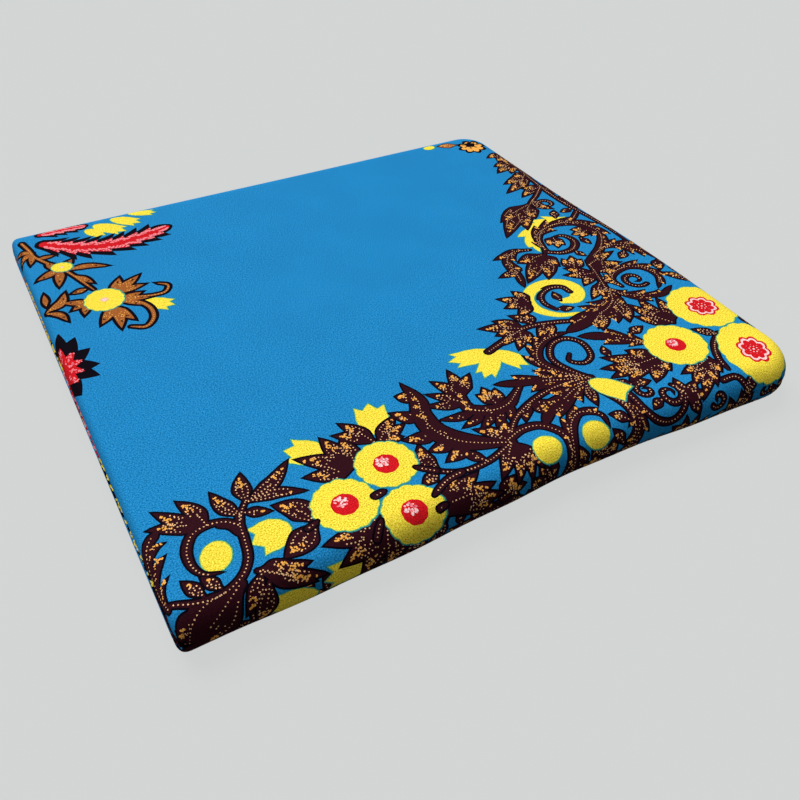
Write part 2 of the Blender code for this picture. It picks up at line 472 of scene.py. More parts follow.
# A rosette, as shares of its heart: rings of petals, and beads by their turn, place, radius and colour.
ROSETTE_PETALS = 8
ROSETTE_DEPTH = 0.2
ROSETTE_RINGS = ((1.16, RED), (1.0, BLUSH), (0.84, RED))
ROSETTE_BEADS = ((0, 0.3, 0.36, BLUSH), (22, 0.52, 0.22, PINK))
ROSETTE_MIDDLE = 0.6

# The stippled light on a plain heart: where it lies and how far it reaches, as shares of the heart.
LIT_HEADING = 118
LIT_AWAY = 0.34
LIT_REACH = 0.5
LIT_DOTS = 8
LIT_DOT_SIZES = (0.3, 0.62)

# A feather's edge and rib, as shares of its width with their outlines, and the dots along its barbs.
FEATHER_LAYERS = ((1.0, 0.9, NAVY, EDGE), (0.66, 0.0, RED, FILL))
BARB = 0.6
BARB_DOTS = 2
BARB_DOTS_OUT = (0.45, 0.92)
BARB_DOT = 0.55
BARB_DOT_SHARE = 0.3

# Half-width along a blade, as a share of its greatest half-width.
PROFILES = {
    "leaf": ((0.0, 0.2), (0.42, 1.0), (1.0, 0.0)),
    "scroll": ((0.0, 0.4), (0.35, 1.0), (0.72, 0.8), (1.0, 0.0)),
    "stem": ((0.0, 1.0), (0.8, 0.8), (1.0, 0.35)),
    "hook": ((0.0, 0.7), (0.55, 1.0), (1.0, 0.0)),
    "feather": ((0.0, 0.7), (0.3, 1.0), (0.85, 0.8), (1.0, 0.2)),
    "comma": ((0.0, 0.3), (0.35, 0.8), (0.85, 1.0), (1.0, 0.5)),
    "vine": ((0.0, 0.7), (0.5, 1.0), (1.0, 0.6)),
}


def width_at(profile, share):
    """The share of the greatest half-width: it swells softly and falls off in a full, rounded point."""
    knots = np.array(PROFILES[profile])
    segment = np.clip(np.searchsorted(knots[:, 0], share, side="right") - 1, 0, len(knots) - 2)
    start, end = knots[segment], knots[segment + 1]
    part = (share - start[..., 0]) / (end[..., 0] - start[..., 0])
    part = np.where(end[..., 1] > start[..., 1], smooth(part), np.clip(part, 0.0, 1.0) ** TIP_FULLNESS)
    return start[..., 1] + (end[..., 1] - start[..., 1]) * part


def smooth_line(points, step=LINE_STEP):
    """A smooth line through the points, at even steps."""
    points = np.asarray(points, float)
    padded = np.vstack([2 * points[0] - points[1], points, 2 * points[-1] - points[-2]])
    part = np.linspace(0.0, 1.0, CURVE_SAMPLES, endpoint=False)[:, None]
    fine = []
    for number in range(len(points) - 1):
        a, b, c, d = padded[number:number + 4]
        fine.append(0.5 * (2 * b + (c - a) * part + (2 * a - 5 * b + 4 * c - d) * part ** 2
                           + (3 * b - a - 3 * c + d) * part ** 3))
    fine = np.vstack(fine + [points[-1:]])
    lengths = np.concatenate([[0.0], np.cumsum(np.hypot(*np.diff(fine, axis=0).T))])
    count = max(FEWEST_STEPS, int(lengths[-1] / step))
    places = np.linspace(0.0, lengths[-1], count + 1)
    return np.column_stack([np.interp(places, lengths, fine[:, axis]) for axis in (0, 1)])


def normals(line):
    """The unit direction to the left of a line at each of its points."""
    ahead = np.gradient(line, axis=0)
    ahead /= np.maximum(np.hypot(ahead[:, 0], ahead[:, 1]), TINY)[:, None]
    return np.column_stack([-ahead[:, 1], ahead[:, 0]])


def line_end(place, ahead, half):
    """The end of a line with a width: a sharp point, or an arc from its left round to its right."""
    if half < SHARP_END:
        return place[None, :]
    angles = np.radians(ROUND_END)[:, None]
    return place + half * (np.cos(angles) * ahead + np.sin(angles) * np.array([-ahead[1], ahead[0]]))


def grown(loop, distance):
    """The loop moved out by a distance, its points drawn out as a mitre is."""
    area = np.sum(loop[:, 0] * np.roll(loop[:, 1], -1) - np.roll(loop[:, 0], -1) * loop[:, 1])
    ahead = np.roll(loop, -1, axis=0) - loop
    ahead /= np.maximum(np.hypot(*ahead.T), TINY)[:, None]
    both = ahead + np.roll(ahead, 1, axis=0)
    out = np.column_stack([both[:, 1], -both[:, 0]]) * np.sign(area)
    size = np.maximum(np.hypot(*out.T), TINY)
    mitre = np.minimum(2.0 / size, LONGEST_MITRE)
    return loop + out / size[:, None] * (mitre * distance)[:, None]


def heading_point(start, heading, distance):
    """The point at a distance from the start along a heading in degrees, round from +u towards +v."""
    angle = math.radians(heading)
    return (start[0] + distance * math.cos(angle), start[1] + distance * math.sin(angle))


def spiral_line(centre, radii, start, sweep):
    """A spiral from the first radius to the last, from the start angle through the sweep, in degrees."""
    count = max(FEWEST_STEPS, int(abs(sweep) / SPIRAL_STEP))
    points = []
    for number in range(count + 1):
        part = number / count
        points.append(heading_point(centre, start + sweep * part, radii[0] + (radii[1] - radii[0]) * part))
    return smooth_line(points)


def scalloped(centre, radius, petals, depth, samples=8):
    """A round outline whose edge bulges once for each petal."""
    loop = []
    for number in range(petals * samples):
        angle = 360.0 * number / (petals * samples)
        bulge = abs(math.cos(math.radians(angle * petals / 2)))
        loop.append(heading_point(centre, angle, radius - depth * (1.0 - bulge)))
    return np.array(loop)


def stretched(loop, centre, heading, stretch):
    """The loop drawn out from its centre along a heading."""
    along = np.array(heading_point((0.0, 0.0), heading, 1.0))
    return loop + along * ((loop - centre) @ along)[:, None] * (stretch - 1.0)


class Ink:
    """The shapes of the print, each a flat loop with its colour, its round and its level."""

    def __init__(self, seed):
        self.shapes = []
        self.round = LEAVES
        self.chance = random.Random(seed)

    def paint(self, loop, tint, level=MARK):
        """A filled shape in this round, at its level."""
        self.shapes.append((self.round, level, np.asarray(loop, float), tint))

    def printed(self):
        """The loops and colours in the order they are printed."""
        ordered = sorted(self.shapes, key=lambda shape: shape[:2])
        return [(loop, tint) for _, _, loop, tint in ordered]

    def dot(self, place, radius=DOT_RADIUS, tint=PEACH, sides=5):
        """A small dot, turned by chance."""
        turn = self.chance.uniform(0.0, 360.0)
        self.paint([heading_point(place, turn + 360.0 * side / sides, radius) for side in range(sides)], tint)

    def dots(self, line, tint=PEACH):
        """A row of resist dots along a line."""
        lengths = np.concatenate([[0.0], np.cumsum(np.hypot(*np.diff(line, axis=0).T))])
        for number in range(int(lengths[-1] / DOT_SPACING)):
            place = (number + 0.5) * DOT_SPACING
            point = [np.interp(place, lengths, line[:, axis]) for axis in (0, 1)]
            self.dot(point, DOT_RADIUS * self.chance.uniform(*DOT_SIZES), tint)

    def pale(self, loop):
        """A yellow shape. Its green rim is where it lies out of register over the blue."""
        self.paint(grown(loop, RIM_REACH) + MISFIT, TEAL, RIM)
        self.paint(grown(loop, HALO_REACH), HALO, GREEN_RIM)
        self.paint(loop, YELLOW, PALE)

    def clump(self, place, reach, count, tint):
        """A small ragged patch of resist dots that run together."""
        for _ in range(count):
            away = reach * self.chance.random() ** 0.5
            spot = heading_point(place, self.chance.uniform(0.0, 360.0), away)
            self.dot(spot, self.chance.uniform(*CLUMP_DOTS), tint)

    def flank(self, share, count, half, tooth):
        """One side of a blade: which tooth each place is on, its reach, and how far it leans ahead."""
        if not count:
            return np.full(len(share), -1), half, np.zeros(len(share))
        sizes = np.array([self.chance.uniform(*TOOTH_SIZES) for _ in range(count)])
        ends = np.concatenate([[0.0], np.cumsum(sizes) / sizes.sum()])
        number = np.clip(np.searchsorted(ends, share, side="right") - 1, 0, count - 1)
        rise = np.clip((share - ends[number]) / (ends[number + 1] - ends[number]), 0.0, 1.0) ** TOOTH_RISE
        reach = half * (1.0 + tooth * ((1.0 + TOOTH_NOTCH) * rise - TOOTH_NOTCH))
        return number, reach, half * tooth * TOOTH_LEAN * rise

    def form(self, line, width, profile, teeth, tooth):
        """The outline of a blade along a line, and what its marks are placed by."""
        line = smooth_line(line, TOOTH_STEP if max(teeth) else LINE_STEP)
        side = normals(line)
        ahead = np.column_stack([side[:, 1], -side[:, 0]])
        share = np.linspace(0.0, 1.0, len(line))
        half = width / 2 * width_at(profile, share)
        flanks = []
        for count, way in zip(teeth, (1.0, -1.0)):
            number, reach, lean = self.flank(share, count, half, tooth)
            flanks.append((number, side * (way * reach)[:, None] + ahead * lean[:, None]))
        left, right = (line + across for _, across in flanks)
        tip, tail = (np.hypot(*(left[end] - right[end])) / 2 for end in (-1, 0))
        loop = np.vstack([left[1:-1], line_end(line[-1], ahead[-1], tip),
                          right[-2:0:-1], line_end(line[0], -ahead[0], tail)])
        return {"line": line, "side": side, "half": half, "flanks": flanks, "loop": loop}

    def blade(self, line, width, profile="leaf", teeth=(0, 0), tooth=0.5, outline=OUTLINE,
              edge=NAVY, fill=MAROON, marks=ORANGE, speckle=PEACH, rows=True, spine=True, rows_from=0.14):
        """A leaf, scroll or stem along a line: teeth gives how many points its left and right have."""
        form = self.form(line, width, profile, teeth, tooth)
        line, side, half = form["line"], form["side"], form["half"]
        self.paint(grown(form["loop"], outline), edge, EDGE)
        self.paint(form["loop"], fill, FILL)
        if marks is not None and max(teeth):
            self.tooth_marks(form, marks)
        elif marks is not None:
            self.tip_marks(form, marks, speckle)
        if rows and width > NARROWEST_ROWED and not max(teeth):
            for way in (-1, 1):
                near = slice(int(len(line) * rows_from), int(len(line) * ROWS_TO))
                self.dots(line[near] + way * side[near] * (half[near] * ROW_ASIDE)[:, None], speckle)
        if spine:
            last = int(len(line) * SPINE_TO.get(profile, LONG_SPINE_TO))
            self.dots(line[:max(3, last)], speckle)

    def tooth_marks(self, form, tint):
        """A ragged patch in each tooth, and a few dots between it and the spine."""
        line = form["line"]
        for number, across in form["flanks"]:
            for tooth in range(number.max() + 1):
                places = np.flatnonzero(number == tooth)
                tip = places[-1]
                reach = np.hypot(*across[tip])
                if len(places) < FEWEST_TOOTH_PLACES or reach < SMALLEST_TOOTH:
                    continue
                for share, spread in TOOTH_PATCHES:
                    size = min(WIDEST_TOOTH_PATCH, reach * spread)
                    self.clump(line[tip] + across[tip] * share, size, TOOTH_PATCH_DOTS, tint)
                for _ in range(FEWEST_LOOSE + int(reach)):
                    place = places[self.chance.randrange(len(places) // 3, len(places))]
                    self.dot(line[place] + across[place] * self.chance.uniform(*LOOSE_OUT),
                             tint=self.chance.choice((tint, PEACH)))

    def tip_marks(self, form, tint, speckle):
        """Ragged patches towards a blade's tip, and dots scattered behind them."""
        line, side, half = form["line"], form["side"], form["half"]
        size = len(line) - 1
        if half.max() < NARROWEST_MARKED:
            return
        for share, spread in WIDE_TIP_PATCHES if half.max() > WIDE_TIP else NARROW_TIP_PATCHES:
            spot = int(size * share)
            aside = self.chance.uniform(*TIP_PATCH_ASIDE) * half[spot]
            count = int(half[spot] * TIP_PATCH_DOTS) + 1
            self.clump(line[spot] + side[spot] * aside, half[spot] * spread, count, tint)
        for _ in range(int(half.max() * SPECKLES)):
            spot = int(size * self.chance.uniform(*SPECKLES_ALONG))
            aside = half[spot] * self.chance.uniform(*SPECKLES_ASIDE)
            self.dot(line[spot] + side[spot] * aside, tint=speckle)

    def leaf(self, start, tip, width, bend=0.0, **style):
        """A leaf from its start to its tip, bowed to its left by a share of its length."""
        start, tip = np.array(start, float), np.array(tip, float)
        along = tip - start
        middle = (start + tip) / 2 + np.array([-along[1], along[0]]) * bend
        self.blade([start, middle, tip], width, **style)

    def thorned(self, points, width, tips, thorn):
        """A scroll with a thorn out to each tip, from its spine a little before the place nearest to it."""
        spine = smooth_line(points)
        for tip in tips:
            nearest = np.hypot(*(spine - tip).T).argmin()
            self.leaf(spine[max(0, nearest - THORN_LEAN)], tip, thorn, 0.06, rows=False, spine=False)
        self.blade(points, width, "scroll", rows=False)

    def hand(self, start, tips, width, **style):
        """A hand-shaped leaf: a finger to each tip, from one palm."""
        for tip in tips:
            self.leaf(start, tip, width, self.chance.uniform(*FINGER_BEND), rows_from=FINGER_ROWS_FROM,
                      spine=tip is tips[0], **style)

    def stem(self, points, width, profile="stem", **style):
        """A stem with one row of dots along it."""
        self.blade(points, width, **{**style, "profile": profile, "marks": None, "rows": False})

    def hook(self, points, width, **style):
        """A tendril that swells in its middle and ends in a point."""
        self.stem(points, width, "hook", **style)

    def curl(self, centre, radius, start, sweep, width):
        """A tendril that winds in round its centre."""
        self.hook(spiral_line(centre, (radius, radius * CURL_END), start, sweep), width)

    def bud(self, start, heading, length, width, points=3):
        """A yellow bud whose far end opens in points."""
        crown = []
        for number in range(points * 2 - 1):
            side = 0.5 - number / (points * 2 - 2)
            height = (1.0 if number % 2 == 0 else BUD_NOTCH) + CROWN_DOME * (1 - abs(side) * 2)
            crown.append((height, side * CROWN_WIDTH))
        outline = list(BUD_SIDE) + crown + [(share, -side) for share, side in BUD_SIDE[::-1]]
        self.pale(np.array([
            heading_point(heading_point(start, heading, share * length), heading + 90, side * width)
            for share, side in outline
        ]))

    def blossom(self, centre, radius, heart="stippled", heading=0.0, stretch=1.0):
        """A yellow blossom with a small red heart, longer along its heading by the stretch."""
        loop = scalloped(centre, radius, BULGES, radius * BULGE_DEPTH, 6)
        loop += [[self.chance.uniform(*UNEVEN_EDGE) for _ in range(2)] for _ in loop]
        self.pale(stretched(loop, centre, heading, stretch))
        if heart == "bare":
            for share, tint in BARE_HEART:
                self.dot(centre, radius * share, tint, HEART_SIDES)
            return
        red = radius * HEARTS[heart]
        if heart == "rosette":
            for size, tint in ROSETTE_RINGS:
                petals = scalloped(centre, red * size, ROSETTE_PETALS, red * ROSETTE_DEPTH)
                self.paint(stretched(petals, centre, heading, stretch), tint)
            for number in range(ROSETTE_PETALS):
                for turn, away, size, tint in ROSETTE_BEADS:
                    spot = heading_point(centre, 360 / ROSETTE_PETALS * number + turn, red * away)
                    self.dot(spot, size, tint)
            self.dot(centre, ROSETTE_MIDDLE, BLUSH)
            return
        self.paint(scalloped(centre, red, HEART_SIDES, red * HEART_DEPTH, 4), RED)
        lit = heading_point(centre, LIT_HEADING, red * LIT_AWAY)
        for _ in range(int(red * LIT_DOTS)):
            turn = self.chance.uniform(0, 360)
            place = heading_point(lit, turn, red * LIT_REACH * self.chance.random() ** 0.5)
            self.dot(place, self.chance.uniform(*LIT_DOT_SIZES), self.chance.choice((BLUSH, BLUSH, PINK)))

    def berry(self, centre, radius, heading=0.0, stretch=1.0):
        """A plain yellow berry, longer along its heading by the stretch."""
        self.pale(stretched(scalloped(centre, radius, 9, radius * 0.03, 3), centre, heading, stretch))

    def feather(self, points, width, teeth):
        """A pink feathery leaf with a red rib and a heavy black edge."""
        state = self.chance.getstate()
        for share, edge, tint, level in FEATHER_LAYERS:
            self.chance.setstate(state)
            form = self.form(points, width * share, "feather", (teeth, teeth), BARB)
            self.paint(grown(form["loop"], edge), tint, level)
        for number, across in form["flanks"]:
            for place in range(2, len(number) - 1):
                radius = min(BARB_DOT, np.hypot(*across[place]) * BARB_DOT_SHARE)
                for _ in range(BARB_DOTS):
                    share = self.chance.uniform(*BARB_DOTS_OUT)
                    self.dot(form["line"][place] + across[place] * share, radius, PINK)

    def spikes(self, start, tips, width, tint):
        """Plain pointed rays from one place."""
        for tip in tips:
            form = self.form([start, (np.add(start, tip)) / 2, tip], width, "leaf", (0, 0), 0.0)
            self.paint(form["loop"], tint, MARK)


def front_left_ornament(ink):
    """The volute, the spray and the leaves at the front left corner."""
    ink.leaf((-121, -130), (-149, -150), 19, marks=None)
    ink.leaf((-134, -132), (-150, -140), 7, rows=False, spine=False)
    ink.leaf((-128, -136), (-136, -150), 6, rows=False, spine=False)
    ink.blade([(-145, -128), (-147, -120), (-146.5, -111), (-144, -102), (-138, -95)], 6, "scroll", (0, 4),
              1.4)
    ink.leaf((-127, -129), (-131.5, -121.5), 4.6)
    ink.leaf((-133, -129), (-137.5, -120.5), 5)
    ink.hand((-122, -102), ((-128, -86), (-137, -87), (-141, -94)), 6.5)
    ink.bud((-97, -115), 187, 13, 14)
    ink.leaf((-110, -103), (-116, -88), 6, 0.08)
    ink.leaf((-106, -98), (-103, -84), 6.5, 0.05)
    ink.leaf((-106, -98), (-85, -86), 6, -0.08)
    ink.leaf((-106, -98), (-85, -103), 5, 0.08)
    ink.leaf((-109, -102), (-100, -106), 4.2)
    ink.stem([(-111, -105), (-109, -101), (-105, -96)], 1.8)
    ink.berry((-124, -115.8), 5.3, 62, 1.24)
    ink.hook([(-112, -107), (-116, -103), (-122, -101.5), (-128, -103), (-132, -109), (-132.5, -116),
              (-130, -121), (-124.5, -123)], 3.2)
    ink.stem([(-118, -103.5), (-115, -106), (-113.5, -111)], 2.6, spine=False)
    ink.stem([(-110, -101), (-112, -107), (-113, -114), (-115, -122), (-120, -128), (-128, -131),
              (-137, -130), (-148, -125)], 2.7)
    ink.bud((-97, -145), 175, 16, 11)
    ink.leaf((-114, -128), (-97, -139), 8, rows=False)
    ink.hand((-113, -128), ((-93, -138), (-97, -132), (-102.5, -129.5)), 5.4)
    ink.leaf((-113, -129), (-122, -141), 5.5)
    ink.leaf((-112, -133), (-119, -149), 7)
    ink.leaf((-88, -118), (-98.5, -104), 9.5, -0.12)
    ink.leaf((-88.5, -118.5), (-104, -127.5), 10, 0.04)


def blossom_ornament(ink):
    """The buds and leaves round the three stippled blossoms."""
    ink.bud((-70, -90), 146, 15, 13)
    ink.bud((-48, -89), 74, 16, 13)
    ink.hand((-63, -100), ((-62, -85), (-69, -81), (-82, -87), (-83, -97)), 8)
    ink.hand((-51, -93), ((-59, -77), (-64, -82)), 6.5)
    ink.hand((-50, -94), ((-37, -83), (-36, -89), (-40, -95)), 6)
    ink.bud((-77, -142), 176, 15, 10)
    ink.hand((-66, -128), ((-80, -126), (-90, -129), (-87, -138), (-80, -148)), 8.5)
    ink.leaf((-66, -129), (-70, -149), 9, 0.1)
    ink.leaf((-47, -134), (-54, -147), 5, 0.25)
    ink.stem([(-63, -136), (-63, -141), (-69, -148)], 2.4)


def acanthus_ornament(ink):
    """The toothed scrolls in the middle of the front, and the stems that fan out of their node."""
    ink.hook([(-46, -132), (-39, -132), (-30, -134), (-24, -137)], 12, spine=False)
    ink.hand((-42, -132), ((-21, -131), (-25, -125), (-32, -123), (-18, -136), (-21, -141)), 6.5)
    ink.thorned([(-4, -118), (-14, -113), (-22, -107), (-27, -98), (-27, -88), (-24, -79), (-25, -67)], 9.5,
                ((-32, -115), (-41, -97), (-38, -81), (-31, -73), (-35, -107)), 6.5)
    ink.thorned([(18, -92), (9, -98), (2, -99), (-4, -97), (-8, -93), (-7, -86), (-3, -79)], 6,
                ((3, -107), (-4, -108), (-10, -106), (-16, -102), (-22, -94)), 4.2)
    ink.hand((-7, -90), ((-19, -78), (-23, -84)), 5)
    ink.hand((-6, -86), ((-13, -72), (-3, -69), (4, -75)), 6)
    ink.hand((-4, -117), ((-13, -105), (-7, -106), (1, -106)), 5.5)
    ink.hand((-4, -118), ((-17, -131), (-11, -135), (-4, -136), (2, -133)), 5.5)
    ink.hand((-20, -142), ((-34, -150), (-24, -154), (-10, -152), (-6, -145)), 8)
    ink.stem([(-4, -118), (-17, -122), (-29, -122), (-38, -117), (-44, -111)], 2.2)
    ink.leaf((-37, -117), (-37, -102), 6.5, 0.1)
    ink.leaf((-38, -118), (-46, -121), 5)
    ink.leaf((-18, -122), (-25, -112), 4.5)
    ink.stem([(-4, -116), (4, -114), (12, -116), (17, -124), (16, -134), (10, -147)], 3.8)
    ink.blade([(17, -144), (18, -131), (22, -122), (30, -117), (37, -121), (37, -128)], 4.4, "hook", (6, 0),
              1.0)
    ink.stem([(49, -101), (34, -99), (20, -101), (6, -107), (-4, -117)], 2.8)
    ink.hand((16, -103), ((8, -111), (20, -112), (26, -106)), 4.5)
    ink.hand((4, -142), ((-2, -150), (6, -154), (14, -150)), 6)


def right_front_ornament(ink):
    """The curls and toothed leaves between the scrolls and the right-hand blossoms."""
    ink.blade([(49, -101), (36, -96), (24, -91), (10, -86)], 6.5, "leaf", (3, 4), 1.2)
    ink.blade([(49, -102), (38, -104), (28, -108), (20, -111), (13, -117)], 8.5, "leaf", (3, 4), 0.8)
    ink.stem([(49, -102), (44, -93), (42, -83), (48, -75), (56, -74), (61, -80), (59, -89), (53, -92),
              (48, -88), (51, -84)], 2.6)
    ink.blade([(46, -99), (39, -91), (36, -82), (41, -74), (50, -70), (60, -71)], 5, "scroll", (7, 0), 1.5)
    ink.leaf((44, -104), (40, -117), 5)
    ink.leaf((46, -105), (53, -123), 6, 0.2)
    ink.stem([(44, -104), (48, -113), (50, -123), (48, -135), (40, -148)], 2.8)
    ink.blade([(50, -118), (52, -128), (48, -138), (38, -146)], 5.5, "scroll", (4, 3), 0.9)
    ink.curl((64, -119), 4.4, 60, 380, 2.2)
    ink.curl((72, -125), 5.6, 40, -420, 2.4)
    ink.hand((62, -113), ((52, -114), (56, -108), (70, -115)), 5)
    ink.stem([(51, -107), (56, -117), (56, -126), (60, -133), (67, -136), (74, -133), (80, -124)], 3)
    ink.hand((78, -130), ((80, -119), (87, -124), (88, -131), (82, -138)), 5)
    ink.hand((84, -104), ((57, -99), (62, -93), (75, -94), (57, -106), (62, -112), (72, -117), (83, -114)), 8)
    ink.blade([(89, -96), (81, -88), (73, -81), (63, -76)], 7, "leaf", (3, 3), 0.9)


def front_roll_ornament(ink):
    """The dense band of leaves and tendrils that turns under along the front roll."""
    ink.blade([(22, -155), (44, -149), (66, -147), (90, -148), (112, -150), (134, -152), (146, -148)], 6,
              "vine", (13, 13), 0.9)
    for place, heading in ((30, 250), (46, 100), (62, 250), (76, 95), (90, 255), (104, 80), (118, 250),
                           (132, 100)):
        tips = [heading_point((place, -149), heading + turn, 12) for turn in (-34, 0, 34)]
        ink.hand((place, -149), tips, 5)
    ink.curl((93, -136), 4.0, 200, 350, 2.2)
    ink.curl((120, -141), 4.0, 100, -350, 2.2)
    ink.stem([(99, -129), (106, -130), (109, -136), (112, -144)], 2.6)


def right_blossom_ornament(ink):
    """The leaves round the three blossoms at the front right corner."""
    ink.hand((109, -88), ((100, -67), (96, -76), (108, -65), (116, -69)), 7)
    ink.hand((104, -115), ((86, -118), (85, -126), (85, -133), (95, -130), (102, -125)), 6.5)
    ink.stem([(122, -104), (114, -109), (108, -117), (106, -125)], 3)
    ink.leaf((121, -104), (113, -96), 5)
    ink.leaf((107, -140), (118, -130), 5)


def blossoms(ink):
    """The round yellow blossoms, over the leaves."""
    for place, radius in (((-75.6, -115.6), 12.4), ((-52.8, -104.8), 12.0), ((-54.8, -129.8), 12.2)):
        ink.blossom(place, radius)
    ink.blossom((98, -101), 14.4, "oval")
    ink.blossom((131, -84), 16.6, "rosette")
    ink.blossom((127, -120), 15.6, "rosette", 63, 1.28)
    ink.blossom((-117, 53), 9.2, "bare")
    ink.bud((47, -103), 303, 17, 11, 2)
    ink.berry((7, -127), 6.1)
    ink.berry((30, -129), 6.1)
    ink.blossom((-128, 91), 4.2, "bare", 155, 1.2)


def stalk_ends(ink):
    """Knobs of the stalks that end on the blossoms."""
    ink.stem([(-64, -117.2), (-62, -116.9), (-60, -116.7)], 2.8)
    ink.stem([(-30, -122), (-37, -123), (-45, -127)], 2.8)
    ink.stem([(-38, -117), (-42, -113.5), (-44, -111.5)], 2.4)
    ink.stem([(-45.5, -132.5), (-44, -132.2), (-42, -132)], 2.2)
    ink.stem([(-72, -134), (-70, -131), (-67.5, -128)], 2.4)
    ink.stem([(-92, -119.5), (-89.5, -118.8), (-87.6, -118)], 2.2)


def middle_stem_ornament(ink):
    """The yellow buds, the long stem, the yellow spiral and the leaves round them."""
    ink.bud((22, -67), 172, 19, 10)
    ink.bud((22, -68), 222, 16, 9)
    ink.bud((22, -67), 300, 15, 9)
    ink.stem([(20, -66), (33, -62), (46, -59), (60, -62), (72, -67)], 3)
    ink.hand((44, -59), ((26, -50), (30, -58), (35, -48)), 7)
    ink.hand((59, -43), ((57, -32), (47, -34), (46, -42), (48, -50)), 6)
    ink.hand((55, -60), ((46, -68), (54, -69)), 5.5)
    ink.hand((42, -59), ((33, -71), (40, -70), (28, -65)), 5.5)
    ink.hand((50, -58), ((44, -48), (52, -50)), 5)
    ink.blade([(100, -50), (97, -59), (88, -65), (76, -67), (60, -71)], 12, "leaf", (4, 5), 0.7)
    ink.leaf((96, -60), (91, -78), 8, 0.1)
    ink.leaf((84, -66), (76, -77), 7)
    spiral = [(75, -62), (65, -58), (59, -50), (60, -41), (67, -35), (76, -34), (84, -38), (86, -45),
              (81, -51), (74, -50)]
    form = ink.form(spiral, 7.0, "comma", (0, 0), 0.0)
    ink.pale(form["loop"])
    ink.stem([(82, -45), (81, -40), (75, -38), (68, -41), (65, -47), (67, -54)], 2.4, teeth=(0, 3), tooth=0.8)


def border_ornament(ink):
    """The band of scrolls and leaves along the right edge."""
    crescent = ink.form([(125, 14), (113, 16), (102, 11), (95, 3), (92, -8)], 9, "hook", (0, 6), 0.8)
    ink.pale(crescent["loop"])
    ink.stem([(144, 106), (141, 88), (139, 70), (137, 50), (137, 30), (139, 14), (141, -4), (140, -22)], 3.2)
    ink.stem([(137, 52), (128, 44), (121, 39), (110, 30)], 2.8)
    ink.stem([(137, 18), (128, 12), (116, 12), (106, 9), (99, 2), (96, -6), (92, -12)], 2.8)
    ink.hand((143, 100), ((134, 90), (131, 98), (138, 84)), 6)
    ink.hand((141, 86), ((125, 78), (128, 86), (132, 74)), 7)
    ink.hand((139, 70), ((115, 54), (120, 64), (127, 54), (130, 70)), 7.5)
    ink.hand((137, 52), ((120, 46), (126, 54)), 6)
    ink.hand((117, 37), ((92, 27), (85, 12), (100, 14), (111, 22)), 10)
    ink.leaf((123, 41), (127, 27), 6, -0.2)
    ink.curl((127, 33), 5.5, 180, -330, 2.4)
    for place, tips in (((141, 92), ((151, 84), (152, 98))), ((139, 72), ((150, 62), (151, 76))),
                        ((137, 50), ((148, 38), (149, 54))), ((137, 30), ((148, 18), (150, 32), (147, 42))),
                        ((140, 6), ((150, -8), (152, 6), (149, 16)))):
        ink.hand(place, tips, 6.5)


def border_foot_ornament(ink):
    """The scrolls and leaves between the right edge's band and the blossoms below it."""
    ink.blade([(96, -8), (97, 1), (104, 9), (118, 12), (130, 7), (133, -6), (123, -19), (107, -27)], 5.5,
              "scroll", (9, 3), 1.1)
    ink.hook([(95, -10), (102, -14), (110, -13), (115, -7), (113, 0), (106, 1)], 3.8)
    ink.hand((91, -11), ((75, -12), (69, -29), (80, -31), (92, -24)), 9)
    ink.blade([(88, -4), (79, -2), (71, -8), (69, -18), (65, -31)], 4.6, "scroll", (3, 3), 0.9)
    ink.leaf((72, -18), (59, -19), 5)
    ink.leaf((78, -3), (66, -4), 4.5)
    ink.stem([(100, -50), (103, -42), (106, -33), (108, -26)], 3)
    ink.hand((106, -30), ((126, -25), (123, -35), (116, -42)), 6.5)
    ink.hand((104, -37), ((89, -32), (93, -27), (92, -44)), 6)
    ink.hand((101, -45), ((88, -55), (94, -57), (109, -45)), 5.5)
    ink.blade([(122, -20), (132, -20), (140, -28), (145, -43)], 8, "leaf", (4, 4), 0.8)
    ink.blade([(108, -53), (108, -46), (114, -41), (123, -40), (130, -45), (131, -54), (124, -62)], 4.6,
              "scroll", (9, 0), 1.6)
    ink.curl((118, -51), 6.5, 300, -400, 2.6)
    ink.blade([(100, -50), (104, -58), (112, -64), (121, -67), (130, -64)], 4.6, "leaf", (4, 2), 1.1)
    ink.leaf((147, -66), (134, -52), 6)
    ink.hand((142, -42), ((152, -50), (150, -34), (136, -50)), 6)


def corner_flower(ink):
    """The orange flower at the back right corner, with its brown leaf."""
    middle, heart = (131, 116), (131.5, 119)
    ink.paint(scalloped(middle, 9.6, 8, 2.4), NAVY, EDGE)
    ink.paint(scalloped(middle, 7.4, 8, 2.2), ORANGE, FILL)
    ink.paint(scalloped(heart, 3.6, 5, 0.8), NAVY)
    for number in range(8):
        ray = [heading_point(heart, 45 * number + 22, reach) for reach in (3.0, 4.4, 6.0)]
        ink.blade(ray, 1.1, "leaf", outline=0.0, fill=MAROON, marks=None, rows=False, spine=False)
    ink.leaf((123, 123), (112, 126), 6, fill=BROWN)
    ink.berry((106, 127), 2.6, 0, 1.4)


